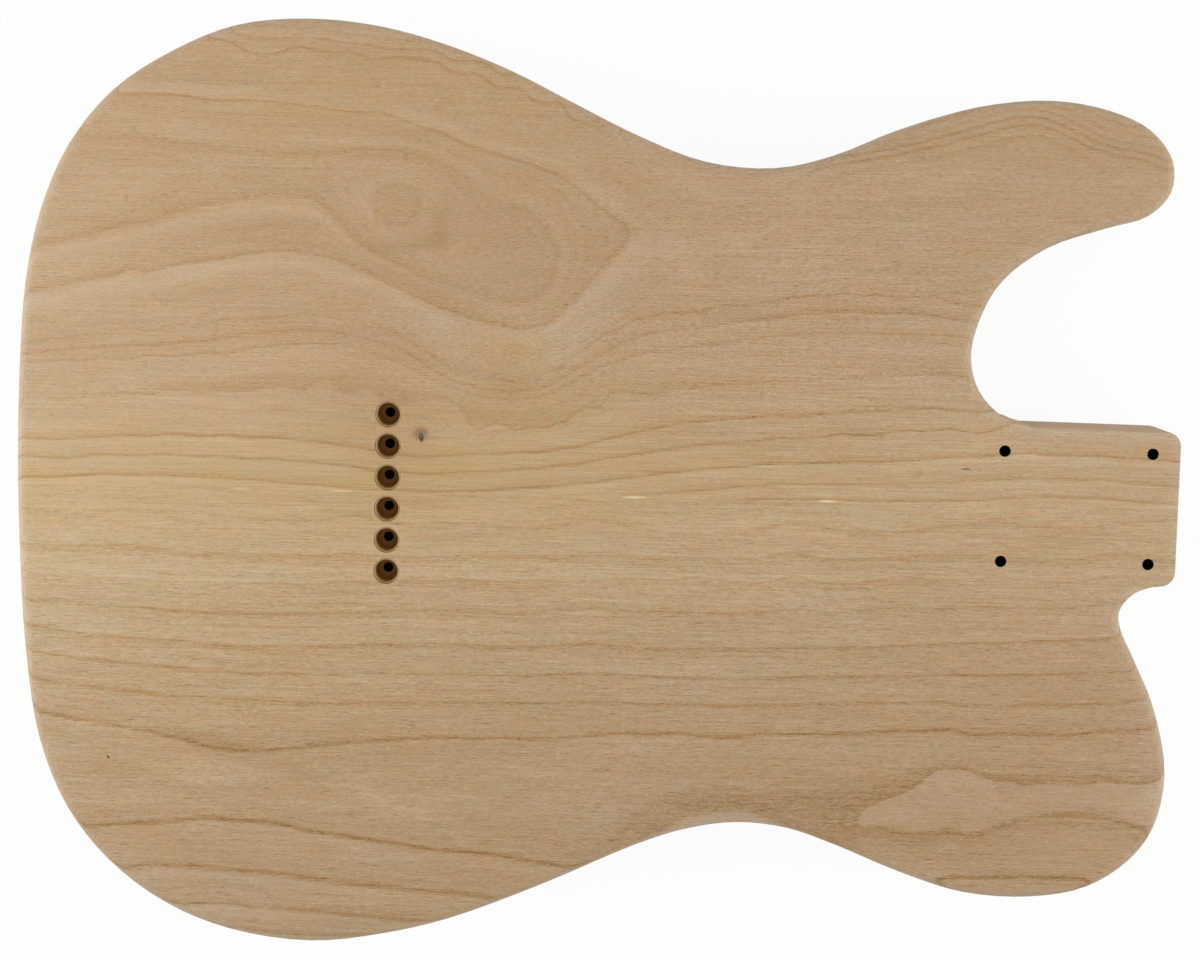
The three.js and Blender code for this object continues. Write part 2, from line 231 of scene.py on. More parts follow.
# The treble board's growth lines: the shoulder, the loop, the dips below it, the seam and the horn.
TREBLE_GRAIN = (
    GrainLine("shoulder upper line", 2.0, (
        (235, 33), (300, 38), (350, 43), (400, 49), (450, 59), (500, 74), (540, 89), (580, 106)),
        line=9, late=3, early=6),
    GrainLine("shoulder lower line", 1.0, (
        (197, 40), (230, 41), (300, 46), (350, 51), (400, 56), (440, 63), (480, 74), (520, 88), (560, 103),
        (600, 121)), line=11, late=4),
    GrainLine("top of the loop", 0.0, (
        (105, 94), (150, 93), (180, 95), (200, 98), (230, 100), (260, 101), (300, 104), (330, 109),
        (360, 112), (400, 119), (430, 129), (460, 142), (500, 155), (530, 164), (552, 172), (580, 190),
        (600, 207), (620, 221), (627, 226)), line=13, early=7, fades_mm=(1.0, 0.6)),
    GrainLine("tip of the loop", 0.0, (
        (629, 233), (621, 246), (606, 262)), line=13, late=4, early=5, fades_mm=(0.9, 1.4)),
    GrainLine("bottom of the loop, neck side", 0.0, (
        (592, 281), (577, 296), (565, 309), (550, 322), (535, 327), (505, 326), (480, 320), (450, 310),
        (423, 299), (400, 288), (370, 273), (340, 261)), line=9, late=3, early=6, fades_mm=(1.8, 0.6)),
    GrainLine("bottom of the loop, tail side", 0.0, (
        (310, 254), (281, 251), (250, 254), (215, 260), (185, 264), (165, 267), (152, 271), (144, 272),
        (136, 269), (127, 270), (116, 275), (90, 280), (60, 286), (36, 290)),
        line=7, late=3, early=8, fades_mm=(1.6, 0.8)),
    GrainLine("top of the inner loop", -1.0, (
        (86, 136), (120, 136), (160, 139), (200, 144), (250, 150), (300, 150), (350, 148), (400, 150),
        (430, 158)), line=4, late=3, early=4, fades_mm=(2.8, 2.4)),
    GrainLine("neck end of the inner loop", -1.0, (
        (455, 170), (470, 184), (488, 197), (520, 207), (540, 220), (552, 240), (555, 265), (548, 290),
        (530, 301), (505, 302), (480, 296), (450, 286)), line=2, late=2, early=5, fades_mm=(2.6, 2.6)),
    GrainLine("bottom of the inner loop", -1.0, (
        (430, 280), (410, 270), (380, 256), (360, 243), (345, 228), (330, 212), (315, 200), (300, 196),
        (250, 197), (200, 206), (150, 221), (100, 232), (60, 240), (38, 245)),
        line=5, late=3, early=8, fades_mm=(3.2, 2.6)),
    GrainLine("eye of the loop", -2.0, (
        (374, 205), (381, 188), (398, 184), (415, 188), (421, 202), (413, 219), (396, 227), (381, 219)),
        late=1, early=4, fades_mm=(1.5, 1.5)),
    GrainLine("middle of the eye", -2.5, ((392, 203), (403, 203)), fades_mm=(1.5, 1.5)),
    GrainLine("second eye", -1.6, ((505, 252), (525, 238), (545, 255), (527, 272))),
    GrainLine("quiet wood below the loop", 0.3, (
        (36, 305), (100, 293), (150, 287), (200, 278), (250, 269), (300, 268), (350, 282), (400, 304),
        (440, 323), (480, 338), (520, 344), (560, 328), (590, 300), (620, 275), (645, 250), (660, 232)),
        early=9),
    GrainLine("quiet wood above the dip", 0.65, (
        (36, 323), (100, 315), (150, 310), (200, 303), (250, 295), (300, 293), (350, 304), (400, 320),
        (440, 344), (475, 361), (515, 364), (555, 350), (590, 318), (630, 299), (670, 292))),
    GrainLine("quiet wood above the loop", 0.5, (
        (160, 70), (220, 72), (300, 78), (360, 85), (420, 97), (480, 117), (540, 140), (600, 172),
        (650, 205))),
    GrainLine("first dip, upper line, tail side", 1.0, (
        (26, 343), (60, 339), (100, 335), (150, 331), (200, 326), (250, 320), (280, 317), (310, 316),
        (340, 320), (370, 327), (400, 336), (415, 345)), line=6, late=2, early=-2, fades_mm=(0.6, 0.6)),
    GrainLine("first dip, upper line, bottom", 1.0, (
        (425, 352), (440, 363), (455, 373), (480, 379), (510, 381), (540, 376), (562, 365), (580, 351)),
        line=3, late=3),
    GrainLine("first dip, upper line, neck side", 1.0, (
        (600, 338), (620, 328), (650, 317), (680, 313), (700, 311), (750, 305), (770, 302), (800, 297),
        (830, 295), (860, 295), (900, 298), (950, 302), (976, 306)), line=9, late=3),
    GrainLine("first dip, middle line, tail side", 2.0, (
        (26, 353), (60, 350), (100, 347), (150, 345), (200, 341), (225, 338), (250, 333), (300, 330),
        (340, 333), (370, 340), (400, 349), (415, 357)), line=3, late=8, early=-3, fades_mm=(0.6, 0.6)),
    GrainLine("first dip, middle line, bottom", 2.0, (
        (425, 364), (440, 374), (455, 382), (480, 389), (510, 393), (540, 389), (562, 378), (580, 367)),
        line=2, late=9),
    GrainLine("first dip, middle line, neck side", 2.0, (
        (600, 356), (620, 344), (650, 333), (680, 329), (720, 325), (750, 320), (800, 314), (850, 311),
        (900, 313), (940, 317), (970, 321)), line=3, late=9, early=3),
    GrainLine("first dip, lower line, tail side", 3.0, (
        (24, 361), (60, 360), (100, 358), (150, 355), (200, 353), (250, 348), (280, 345), (310, 343),
        (340, 345), (370, 352), (395, 361), (410, 368)), line=6, late=3, early=3, fades_mm=(0.6, 0.6)),
    GrainLine("first dip, lower line, bottom", 3.0, (
        (430, 378), (450, 386), (470, 392), (490, 397), (508, 399), (525, 399), (541, 396), (560, 388),
        (580, 377)), line=3, late=3, early=2),
    GrainLine("first dip, lower line, neck side", 3.0, (
        (600, 366), (625, 358), (650, 351), (680, 348), (700, 345), (740, 340), (780, 335), (820, 332),
        (860, 331), (900, 333), (940, 335), (966, 337)), line=8),
    GrainLine("second dip, tail side", 4.0, (
        (24, 400), (60, 400), (100, 398), (150, 395), (200, 392), (250, 390), (300, 390), (345, 394),
        (390, 404), (425, 417)), line=4, late=5, fades_mm=(1.4, 0.9)),
    GrainLine("second dip, neck side", 4.0, (
        (450, 426), (480, 430), (515, 431), (545, 428), (565, 422), (600, 408), (650, 394), (700, 387),
        (750, 384), (800, 381), (850, 379), (900, 377), (962, 377)), line=8, late=6),
    GrainLine("third dip", 5.0, (
        (24, 438), (60, 439), (100, 437), (150, 436), (200, 436), (250, 438), (300, 441), (340, 445),
        (370, 450), (400, 455), (420, 457), (460, 455), (500, 454), (550, 451), (580, 446), (600, 441),
        (630, 434), (660, 428), (700, 422), (740, 419), (800, 417), (850, 413), (900, 411), (950, 411),
        (990, 411)), line=13, late=7, fades_mm=(0.9, 0.6)),
    GrainLine("fourth dip", 6.0, (
        (24, 455), (100, 454), (160, 454), (220, 456), (270, 459), (310, 462), (350, 466), (400, 472),
        (447, 473), (480, 471), (520, 469), (560, 465), (600, 459), (640, 453), (680, 447), (720, 443),
        (780, 438), (840, 434), (900, 431), (950, 429), (1010, 424), (1060, 421)),
        line=16, late=2, early=1, fades_mm=(0.9, 0.6)),
    GrainLine("fifth dip", 7.0, (
        (24, 477), (60, 477), (110, 474), (150, 475), (200, 477), (250, 480), (300, 484), (330, 487),
        (360, 490), (400, 491), (450, 492), (487, 491), (530, 488), (560, 486), (600, 482), (640, 477),
        (680, 472), (720, 468), (760, 465), (820, 463), (880, 462), (920, 460), (960, 457), (1000, 455),
        (1050, 455), (1100, 456), (1150, 459), (1178, 462)), line=12, late=9, early=4, fades_mm=(0.9, 0.6)),
    GrainLine("first line off the seam", 8.0, (
        (610, 499), (640, 495), (680, 492), (720, 489), (760, 486), (800, 484), (840, 485), (900, 484),
        (950, 483), (1000, 480), (1040, 479), (1080, 481), (1130, 484), (1176, 487)),
        line=11, late=4, early=1, fades_mm=(0.9, 0.6)),
    GrainLine("second line off the seam", 9.0, (
        (760, 499), (800, 499), (840, 500), (900, 501), (950, 501), (1000, 499), (1050, 497), (1100, 498),
        (1130, 501), (1175, 504)), line=13, late=4, early=3, fades_mm=(0.9, 0.6)),
    GrainLine("horn lower line", 1.0, (
        (824, 167), (852, 162), (880, 157), (920, 149), (960, 139), (1000, 129), (1024, 125), (1042, 126),
        (1060, 132), (1080, 142), (1100, 150), (1120, 155), (1144, 160), (1172, 170)),
        line=10, late=4, fades_mm=(1.0, 0.8)),
    GrainLine("horn upper line", 2.0, (
        (824, 161), (852, 156), (880, 151), (920, 143), (960, 132), (1000, 121), (1024, 117), (1042, 118),
        (1060, 124), (1080, 134), (1100, 143), (1120, 149), (1144, 153), (1168, 161)),
        line=8, late=7, early=3, fades_mm=(1.0, 0.9)),
    GrainLine("middle of the horn", 0.5, (
        (700, 235), (760, 235), (820, 235), (880, 230), (940, 225), (1000, 215), (1060, 205), (1120, 195))),
)

# The bass board's growth lines, from the seam to the lower edge.
BASS_GRAIN = (
    GrainLine("seam side", 0.0, (
        (26, 510), (200, 512), (360, 516), (600, 520), (800, 522), (1000, 521), (1170, 520)),
        line=7, late=1, fades_mm=(0.6, 0.9)),
    GrainLine("first", 1.0, (
        (25, 543), (60, 545), (100, 544), (140, 546), (180, 551), (220, 553), (260, 554), (320, 556),
        (380, 556), (440, 557), (500, 556), (560, 556), (640, 557), (700, 558), (760, 558), (820, 559),
        (900, 558), (1000, 558), (1080, 559), (1172, 560)), line=12, late=-3, early=-2, fades_mm=(0.6, 3.2)),
    GrainLine("second", 2.0, (
        (25, 572), (60, 575), (100, 577), (150, 580), (200, 582), (270, 582), (340, 581), (400, 580),
        (460, 579), (550, 579), (640, 578), (700, 577), (800, 577), (900, 577), (1000, 577), (1100, 577),
        (1170, 577)), line=10, late=-4, early=-3, fades_mm=(0.6, 0.9)),
    GrainLine("third", 3.0, (
        (27, 600), (60, 602), (90, 605), (140, 607), (160, 610), (200, 612), (260, 614), (330, 613),
        (420, 611), (480, 612), (560, 611), (590, 608), (610, 610), (640, 613), (700, 614), (760, 613),
        (800, 611), (860, 611), (920, 609), (960, 608), (1000, 608), (1040, 608), (1100, 605), (1117, 604)),
        line=10, late=3, early=-2, fades_mm=(1.2, 0.8)),
    GrainLine("fourth", 4.0, (
        (27, 624), (60, 630), (90, 634), (130, 638), (180, 641), (220, 644), (260, 646), (340, 646),
        (400, 644), (460, 645), (510, 647), (560, 645), (600, 644), (640, 648), (700, 649), (760, 649),
        (820, 648), (870, 647), (920, 645), (970, 643), (1000, 643), (1050, 641), (1090, 639), (1117, 637)),
        line=18, late=-3, early=-1, fades_mm=(0.7, 1.9)),
    GrainLine("fifth", 5.0, (
        (30, 650), (60, 655), (100, 659), (150, 665), (200, 669), (250, 673), (300, 674), (370, 673),
        (440, 674), (520, 675), (580, 673), (620, 674), (660, 677), (720, 678), (800, 677), (900, 677),
        (960, 675), (1000, 675), (1050, 674), (1100, 672), (1132, 671)),
        line=18, late=-3, fades_mm=(0.7, 1.0)),
    GrainLine("sixth", 6.0, (
        (33, 677), (60, 683), (100, 687), (150, 693), (200, 697), (250, 699), (300, 702), (350, 703),
        (420, 703), (480, 703), (540, 703), (600, 702), (660, 704), (720, 706), (780, 705), (850, 703),
        (900, 703), (960, 704), (1000, 706), (1060, 705), (1110, 703), (1147, 699)),
        line=16, fades_mm=(0.8, 1.5)),
    GrainLine("seventh", 7.0, (
        (37, 711), (60, 715), (90, 720), (120, 726), (150, 731), (170, 736), (190, 741), (210, 747),
        (240, 750), (270, 750), (300, 747), (330, 744), (360, 741), (400, 739), (440, 737), (500, 737),
        (550, 738), (590, 735), (620, 733), (680, 733), (760, 734), (800, 734), (850, 733), (900, 731),
        (950, 730), (1000, 733), (1040, 734), (1100, 731), (1155, 728)),
        line=19, late=5, fades_mm=(1.0, 1.2)),
    GrainLine("ridge", 7.4, (
        (60, 770), (120, 780), (200, 788), (300, 792), (400, 795), (500, 797), (590, 795))),
    GrainLine("top of the late wood", 7.75, (
        (640, 802), (665, 792), (700, 785), (750, 782), (800, 780), (850, 778), (880, 775), (910, 770),
        (930, 763), (950, 762), (970, 765), (990, 770), (1020, 771), (1060, 771), (1100, 771), (1158, 769)),
        late=14),
    GrainLine("top of the island", 8.0, (
        (845, 828), (858, 820), (861, 812), (879, 802), (901, 794), (920, 783), (930, 774), (946, 768),
        (967, 770), (984, 776), (1008, 781), (1048, 783), (1101, 781), (1162, 780)),
        line=4, late=14, early=10, fades_mm=(1.2, 0.5)),
    GrainLine("core of the island", 8.12, (
        (900, 812), (950, 800), (1000, 803), (1060, 798), (1110, 798), (1155, 805)), early=9),
    GrainLine("bottom of the island", 8.0, (
        (866, 830), (892, 832), (930, 835), (951, 832), (967, 837), (984, 834), (1008, 825), (1034, 818),
        (1061, 816), (1080, 816), (1101, 818), (1120, 823), (1144, 830)),
        line=14, late=7, early=3, fades_mm=(0.9, 2.6)),
    GrainLine("below the island", 7.75, (
        (870, 842), (930, 848), (970, 849), (1010, 840), (1060, 831), (1100, 833), (1135, 843)), late=8),
    GrainLine("island at the waist", 8.04, ((690, 820), (720, 815), (760, 820)), late=16, early=9),
    GrainLine("late wood at the waist", 7.9, ((700, 802), (760, 800), (820, 798), (850, 800)), late=16),
    GrainLine("late wood right of the waist", 7.88, ((800, 830), (830, 838)), late=16),
    GrainLine("lower right line", 7.0, (
        (900, 886), (935, 880), (960, 878), (1000, 877), (1050, 878), (1090, 880), (1120, 886)),
        line=28, late=3, fades_mm=(0.9, 1.4)),
    GrainLine("below the lower right line", 6.6, ((900, 902), (1000, 897), (1110, 902)), late=3),
    GrainLine("lower left line", 8.0, (
        (87, 827), (110, 824), (140, 823), (165, 822), (200, 817), (240, 820), (280, 824), (320, 832),
        (360, 838), (400, 844), (440, 850), (480, 853), (520, 859), (560, 866), (576, 869)),
        line=26, late=4, early=3, fades_mm=(1.0, 1.3)),
    GrainLine("second lower left line", 9.0, (
        (122, 868), (145, 864), (180, 865), (220, 868), (260, 872), (300, 876), (340, 881), (380, 886),
        (430, 891), (482, 896)), line=17, late=4, early=4, fades_mm=(1.2, 1.7)),
    GrainLine("third lower left line", 10.0, (
        (178, 904), (210, 903), (250, 906), (300, 910), (350, 915), (400, 920), (420, 921)),
        line=14, late=7, early=6, fades_mm=(0.9, 1.1)),
    GrainLine("fourth lower left line", 11.0, ((240, 930), (300, 934), (350, 937)), line=12, late=5, early=4),
)

# The soft patches of both boards, the large ones first.
TONE_PATCHES = (
    # Lighter towards the tail end: partly the wood's own tone and partly a painted lighting gradient.
    TonePatch("pale tail end", (-20, 480), (330, 420), levels=15),
    TonePatch("pale band along the seam", (560, 515), (1500, 110), levels=7, yellow=4),
    TonePatch("yellow wood above the seam", (360, 475), (560, 56), levels=-1, yellow=5),
    TonePatch("yellow wood at the tail", (40, 320), (420, 360), yellow=3, red=2),
    TonePatch("yellow wood below the loop", (530, 400), (130, 60), yellow=3),
    TonePatch("yellow wood at the top", (400, 90), (320, 80), yellow=4),
    TonePatch("shade of the lower bout", (640, 880), (1000, 200), levels=-11, yellow=1),
    TonePatch("cooler wood of the lower bout", (720, 720), (900, 230), levels=1, red=-2.9, coarse=0.15),
    TonePatch("cooler lower edge", (700, 960), (900, 120), levels=1, yellow=-2, red=-3),
    TonePatch("yellow wood of the lower bout, tail side", (260, 690), (280, 110), levels=-1, yellow=4),
    TonePatch("shade at the neck side of the lower bout", (1080, 700), (240, 120), levels=-5, red=1),
    TonePatch("cooler wood of the cutaway", (960, 230), (260, 90), levels=-1, red=-1),
    TonePatch("coarse wood of the cutaway", (830, 300), (260, 150), coarse=0.52),
    TonePatch("fine wood at the seam", (330, 470), (500, 60), coarse=-0.3, straight=0.2),
    TonePatch("straight wood along the seam", (700, 505), (600, 80), coarse=-0.1, straight=0.5),
    TonePatch("curly wood of the loop", (440, 220), (240, 100), straight=-0.5),
    TonePatch("curly wood of the dip", (510, 350), (150, 55), coarse=0.1, straight=-0.6),
    TonePatch("curly wood of the horn", (1080, 150), (160, 90), straight=-0.35),
    TonePatch("shade round the bores", (390, 440), (50, 80), levels=-6, red=1),
    TonePatch("shade above the dip, tail side", (470, 372), (70, 14), lean_degrees=-20, levels=-3),
    TonePatch("shade right of the top", (860, 160), (60, 30), lean_degrees=15, levels=-4),
    TonePatch("pale wood of the cutaway", (800, 350), (180, 30), lean_degrees=2, levels=3),
    TonePatch("pale wood above the loop", (600, 150), (50, 26), lean_degrees=-30, levels=3),
    TonePatch("pale wood of the first band", (330, 365), (60, 10), lean_degrees=2, levels=3),
    TonePatch("shade in the second band", (500, 412), (60, 14), levels=-4),
    TonePatch("shade at the waist", (780, 812), (40, 14), levels=-3),
    TonePatch("cool wood at the waist", (710, 815), (120, 25), yellow=-6, red=-2),
    TonePatch("warm wood in the loop", (330, 200), (320, 90), levels=-1, yellow=1),
    TonePatch("shade in the loop", (500, 245), (150, 80), levels=-5, yellow=-1),
    TonePatch("shade past the tip of the loop", (640, 228), (30, 16), levels=-5),
    TonePatch("upper shade in the loop", (380, 131), (110, 7), lean_degrees=-3, levels=-4, red=1),
    TonePatch("lower shade in the loop, tail side", (240, 226), (100, 8), lean_degrees=4, levels=-4, red=1),
    TonePatch("lower shade in the loop, neck side", (410, 280), (80, 12), lean_degrees=-32, levels=-4, red=1),
    TonePatch("pale wood left of the loop", (180, 172), (90, 22), levels=3),
    TonePatch("shade on the horn", (1060, 140), (160, 50), levels=-4, yellow=2, red=-1),
    TonePatch("pale wood below the loop, tail side", (438, 335), (50, 15), lean_degrees=-40, levels=5,
              yellow=-2, red=-2),
    TonePatch("pale wood below the loop, neck side", (585, 322), (58, 18), lean_degrees=46, levels=8,
              yellow=-5, red=-4),
    TonePatch("yellow wood in the dip", (515, 348), (44, 12), yellow=6, red=-1),
    TonePatch("brown band in the dip", (512, 389), (34, 7), levels=-5, yellow=3, red=1),
    TonePatch("brown band neck side of the dip", (602, 352), (34, 6), lean_degrees=32, levels=-4, red=2),
    TonePatch("brown band at the tail", (130, 346), (160, 9), lean_degrees=3, levels=-4, red=1),
    TonePatch("brown band tail side of the dip", (320, 332), (120, 9), lean_degrees=-4, levels=-4, red=1),
    TonePatch("brown band of the cutaway", (760, 312), (160, 7), lean_degrees=3, levels=-3, red=1),
    TonePatch("yellow wood neck side of the dip", (560, 400), (70, 16), yellow=2),
    TonePatch("smudge below the eye", (412, 245), (36, 7), lean_degrees=2, levels=-9, yellow=4, red=-1),
    TonePatch("smudge beside the eye", (441, 226), (7, 22), lean_degrees=-4, levels=-9, yellow=4, red=-2),
    TonePatch("corner of the smudge", (432, 240), (13, 8), levels=-6, yellow=1, red=-1),
    TonePatch("pale wood left of the eye", (352, 200), (20, 26), levels=4, yellow=-4),
    TonePatch("pale wood above the eye", (350, 168), (56, 10), levels=3, yellow=-2),
    TonePatch("shade round the island", (1000, 800), (110, 20), levels=-6, yellow=-2),
    TonePatch("pale wood before the waist", (540, 795), (130, 26), levels=4),
    # Painted sheen: the edges of the lower bout's neck side and of the notch are made paler and cooler, as
    # light catches them.
    TonePatch("pale edge of the lower bout, neck side", (1150, 760), (24, 90), levels=4, yellow=-5),
    TonePatch("pale edge of the notch", (1110, 620), (20, 50), levels=2, yellow=-2),
    TonePatch("shade over the seventh line", (200, 738), (70, 8), lean_degrees=-13, levels=-9),
    TonePatch("pale figure in the lower bout, tail side", (215, 778), (62, 13), lean_degrees=-8, levels=8),
    TonePatch("pale figure in the lower bout, middle", (375, 796), (60, 6), lean_degrees=-22, levels=7),
    TonePatch("pale figure in the lower bout, neck side", (428, 800), (26, 9), lean_degrees=-15, levels=6),
    TonePatch("shade between the pale figures", (300, 772), (60, 10), lean_degrees=-12, levels=-6),
    TonePatch("shade at the tail side of the figure", (110, 770), (50, 14), lean_degrees=-8, levels=-4),
)

# The marks are laid one over another in this order.
TREBLE_MARKS = (
    Mark("wash round the pin knot", (420, 433), (16, 13), "#a07a56", cover=0.5),
    Mark("stain round the pin knot", (421, 434), (10, 9.5), "#78563f", cover=0.65, core=0.3),
    Mark("pale ring of the pin knot", (421.3, 437.2), (8.2, 4.6), "#b18d69", cover=0.65, core=0.4,
         lean_degrees=95),
    Mark("pin knot", (421.2, 437), (6.2, 3.1), "#39291a", cover=0.97, core=0.5, lean_degrees=97),
    Mark("heart of the pin knot", (420.7, 435.6), (4.0, 1.5), "#746a5b", cover=0.8, core=0.2,
         lean_degrees=97),
    Mark("tail of the pin knot", (434, 437.5), (9, 1.4), "#8c6e4c", cover=0.45, core=0.2, lean_degrees=4),
    Mark("smear in the dip, tail end", (466, 371), (8, 3.4), "#9a8c7c", cover=0.35, lean_degrees=-40),
    Mark("smear in the dip, tail side", (490, 378.5), (15, 2.6), "#8e8375", cover=0.4, lean_degrees=-8),
    Mark("smear in the dip, darkest", (511, 381.5), (8, 1.8), "#7d6c5b", cover=0.5, core=0.2,
         lean_degrees=-3),
    Mark("smear in the dip, middle", (538.5, 379.5), (6, 3), "#8b7d6e", cover=0.45, core=0.1),
    Mark("smear in the dip, neck side", (560, 369), (10, 4), "#8f7c68", cover=0.4, lean_degrees=35),
    Mark("dark sliver", (966, 469), (6, 1.5), "#6b4c30", cover=0.8, core=0.4, lean_degrees=3),
    Mark("small burr", (918, 474), (8, 5), "#a3805c", cover=0.35, core=0.5, lean_degrees=30),
    Mark("seam sliver, first", (241, 488.8), (15, 2.6), "#e2cd9c", cover=0.5),
    Mark("seam sliver, second", (340, 491.4), (18, 2.8), "#e4d09f", cover=0.55, lean_degrees=-1),
    Mark("seam sliver, third", (535, 496.8), (18, 3.4), "#dac294", cover=0.5),
    Mark("seam sliver, fourth", (634, 497.8), (18, 2.8), "#ecdca9", cover=0.8, lean_degrees=-1),
    Mark("seam sliver, fifth", (827, 501.8), (16, 2.8), "#ecddb0", cover=0.8, lean_degrees=-1),
)

BASS_MARKS = (
    Mark("dark fleck", (108.2, 757), (3.0, 1.1), "#3a2716", cover=0.95, core=0.5, lean_degrees=-50),
)


class GrainField:
    """A smooth ring number over the back face, as a thin plate bent to pass through all grain lines.

    Attributes:
        UNIT_MM: The plate's own unit of length, which keeps its equations well balanced.
        SLACK: How little the plate may miss a line's posts.
        TINY: Keeps lengths and steps off zero.
        BLOCK: How many places are read at once.
        LONG_REACH: How much farther a line's looks reach along the grain than across it.
        NEAREST: The least squared distance to a post, in units.
        FALL_OFF: How steeply a post's say falls with its squared distance.
        STEPS: How many places are filled in from one post to the next.
        LINE_MM: How far from a line's path it is still drawn in full, and where it ends.
        LINE_RINGS: How many rings off its path's own ring it is drawn in full, and where it ends.
    """

    UNIT_MM = 100.0
    SLACK = 1e-4
    TINY = 1e-9
    BLOCK = 4000
    LONG_REACH = 4.0
    NEAREST = 1e-5
    FALL_OFF = -1.5
    STEPS = 8
    LINE_MM = (3.0, 7.5)
    LINE_RINGS = (1 / 2, 5 / 6)

    def __init__(self, lines: tuple[GrainLine, ...], camera: CopyCamera, face_mm: float) -> None:
        """Bends the plate.

        Args:
            lines: The grain lines of one board.
            camera: The camera whose pixels they are given in.
            face_mm: The back face's height.
        """
        spots = np.array([spot for line in lines for spot in line.spots_px], float)
        counts = [len(line.spots_px) for line in lines]
        self.posts = camera.on_plane(spots, face_mm) / self.UNIT_MM
        rings, *looks = (np.repeat(values, counts) for values in zip(*(
            (line.ring, line.line, *line.fades_mm, line.late, line.early) for line in lines)))
        self.looks = dict(zip(("line", "fade_before", "fade_after", "late", "early"), looks))
        drawn = [(line.ring, self._filled_in(self.posts[last - count:last]))
                 for line, count, last in zip(lines, counts, np.cumsum(counts)) if line.line > 0]
        self.path = np.concatenate([path for _, path in drawn])
        self.path_ring = np.concatenate([np.full(len(path), ring) for ring, path in drawn])
        count = len(spots)
        gaps = np.linalg.norm(self.posts[:, None] - self.posts[None], axis=2)
        flat = np.column_stack([np.ones(count), self.posts])
        system = np.zeros((count + 3, count + 3))
        system[:count, :count] = self._bend(gaps) + self.SLACK * np.eye(count)
        system[:count, count:] = flat
        system[count:, :count] = flat.T
        self.weights = np.linalg.solve(system, np.concatenate([rings, np.zeros(3)]))

    @classmethod
    def _filled_in(cls, posts: np.ndarray) -> np.ndarray:
        """Returns places all along a line through the posts."""
        steps = np.arange(0, len(posts) - 1 + cls.TINY, 1 / cls.STEPS)
        return np.column_stack([np.interp(steps, np.arange(len(posts)), part) for part in posts.T])

    @classmethod
    def _bend(cls, gaps: np.ndarray) -> np.ndarray:
        """Returns the thin plate's own curve at each distance."""
        safe = np.maximum(gaps, cls.TINY)
        return safe * safe * np.log(safe)

    @staticmethod
    def _fade(amounts: np.ndarray, limits: Point) -> np.ndarray:
        """Returns 1 up to the first limit, falling evenly to 0 at the second."""
        full, none = limits
        return np.clip((none - amounts) / (none - full), 0, 1)

    def sample(self, spots_mm: np.ndarray) -> dict[str, np.ndarray]:
        """Reads the field.

        Args:
            spots_mm: One row of x and y for each place.

        Returns:
            The ring number, its slope in rings per millimetre along x and y, and the looks of the lines
            near by.
        """
        found = {key: [] for key in ("ring", "slope", *self.looks)}
        drawn = self.looks["line"] > 0
        bent, flat = self.weights[:-3], self.weights[-2:]
        for start in range(0, len(spots_mm), self.BLOCK):
            spots = spots_mm[start:start + self.BLOCK] / self.UNIT_MM
            offsets = spots[:, None] - self.posts[None]
            gaps = np.maximum(np.linalg.norm(offsets, axis=2), self.TINY)
            found["ring"].append(self._bend(gaps) @ bent + self.weights[-3] + spots @ flat)
            lean = (2 * np.log(gaps) + 1) * bent
            found["slope"].append((np.einsum("ij,ijk->ik", lean, offsets) + flat) / self.UNIT_MM)
            near = (offsets[..., 0] / self.LONG_REACH) ** 2 + offsets[..., 1] ** 2 + self.NEAREST
            share = near ** self.FALL_OFF
            for key, looks in self.looks.items():
                weight = share if key in ("late", "early") else share * drawn
                found[key].append(weight @ looks / weight.sum(axis=1))
            away = np.linalg.norm(spots[:, None] - self.path[None], axis=2)
            off_ring = np.abs(found["ring"][-1] - self.path_ring[away.argmin(axis=1)])
            found["line"][-1] *= self._fade(self.UNIT_MM * away.min(axis=1), self.LINE_MM)
            found["line"][-1] *= self._fade(off_ring, self.LINE_RINGS)
        return {key: np.concatenate(values) for key, values in found.items()}


def linear(code: str) -> tuple[float, float, float, float]:
    """Returns an sRGB hex colour as linear red, green, blue and alpha."""
    parts = [int(code[place:place + 2], 16) / 255 for place in (1, 3, 5)]
    return (*(part / 12.92 if part <= 0.04045 else ((part + 0.055) / 1.055) ** 2.4 for part in parts), 1.0)


def add_node(tree: bpy.types.NodeTree, kind: str, inputs: dict | tuple = (), output: int | str = 0,
             stops: tuple = (), **settings: object) -> Socket | None:
    """Adds a node with its settings and links.

    Args:
        tree: The node tree.
        kind: The node's type.
        inputs: Values or sockets, by input name or number, or in order.
        output: The output that is wanted.
        stops: The stops of a colour ramp, as place and colour, or the points of a curve.
        settings: The node's own properties.

    Returns:
        The output socket, or None for a node without outputs.
    """
    made = tree.nodes.new(kind)
    for name, value in settings.items():
        setattr(made, name, value)
    for key, value in inputs.items() if isinstance(inputs, dict) else enumerate(inputs):
        if isinstance(value, Socket):
            tree.links.new(value, made.inputs[key])
        else:
            made.inputs[key].default_value = value
    if stops and hasattr(made, "color_ramp"):
        marks = made.color_ramp.elements
        while len(marks) < len(stops):
            marks.new(1.0)
        for mark, (place, code) in zip(marks, stops):
            mark.position = place
            mark.color = linear(code)
    elif stops:
        points = made.mapping.curves[0].points
        while len(points) < len(stops):
            points.new(0.5, 0.5)
        for point, place in zip(points, stops):
            point.location = place
            point.handle_type = "VECTOR"
        made.mapping.update()
    return made.outputs[output] if len(made.outputs) else None


def new_material(name: str) -> tuple[bpy.types.Material, bpy.types.NodeTree]:
    """Starts a material.

    Args:
        name: The material's name.

    Returns:
        The material and its empty node tree.
    """
    material = bpy.data.materials.new(name)
    material.use_nodes = True
    material.node_tree.nodes.clear()
    return material, material.node_tree


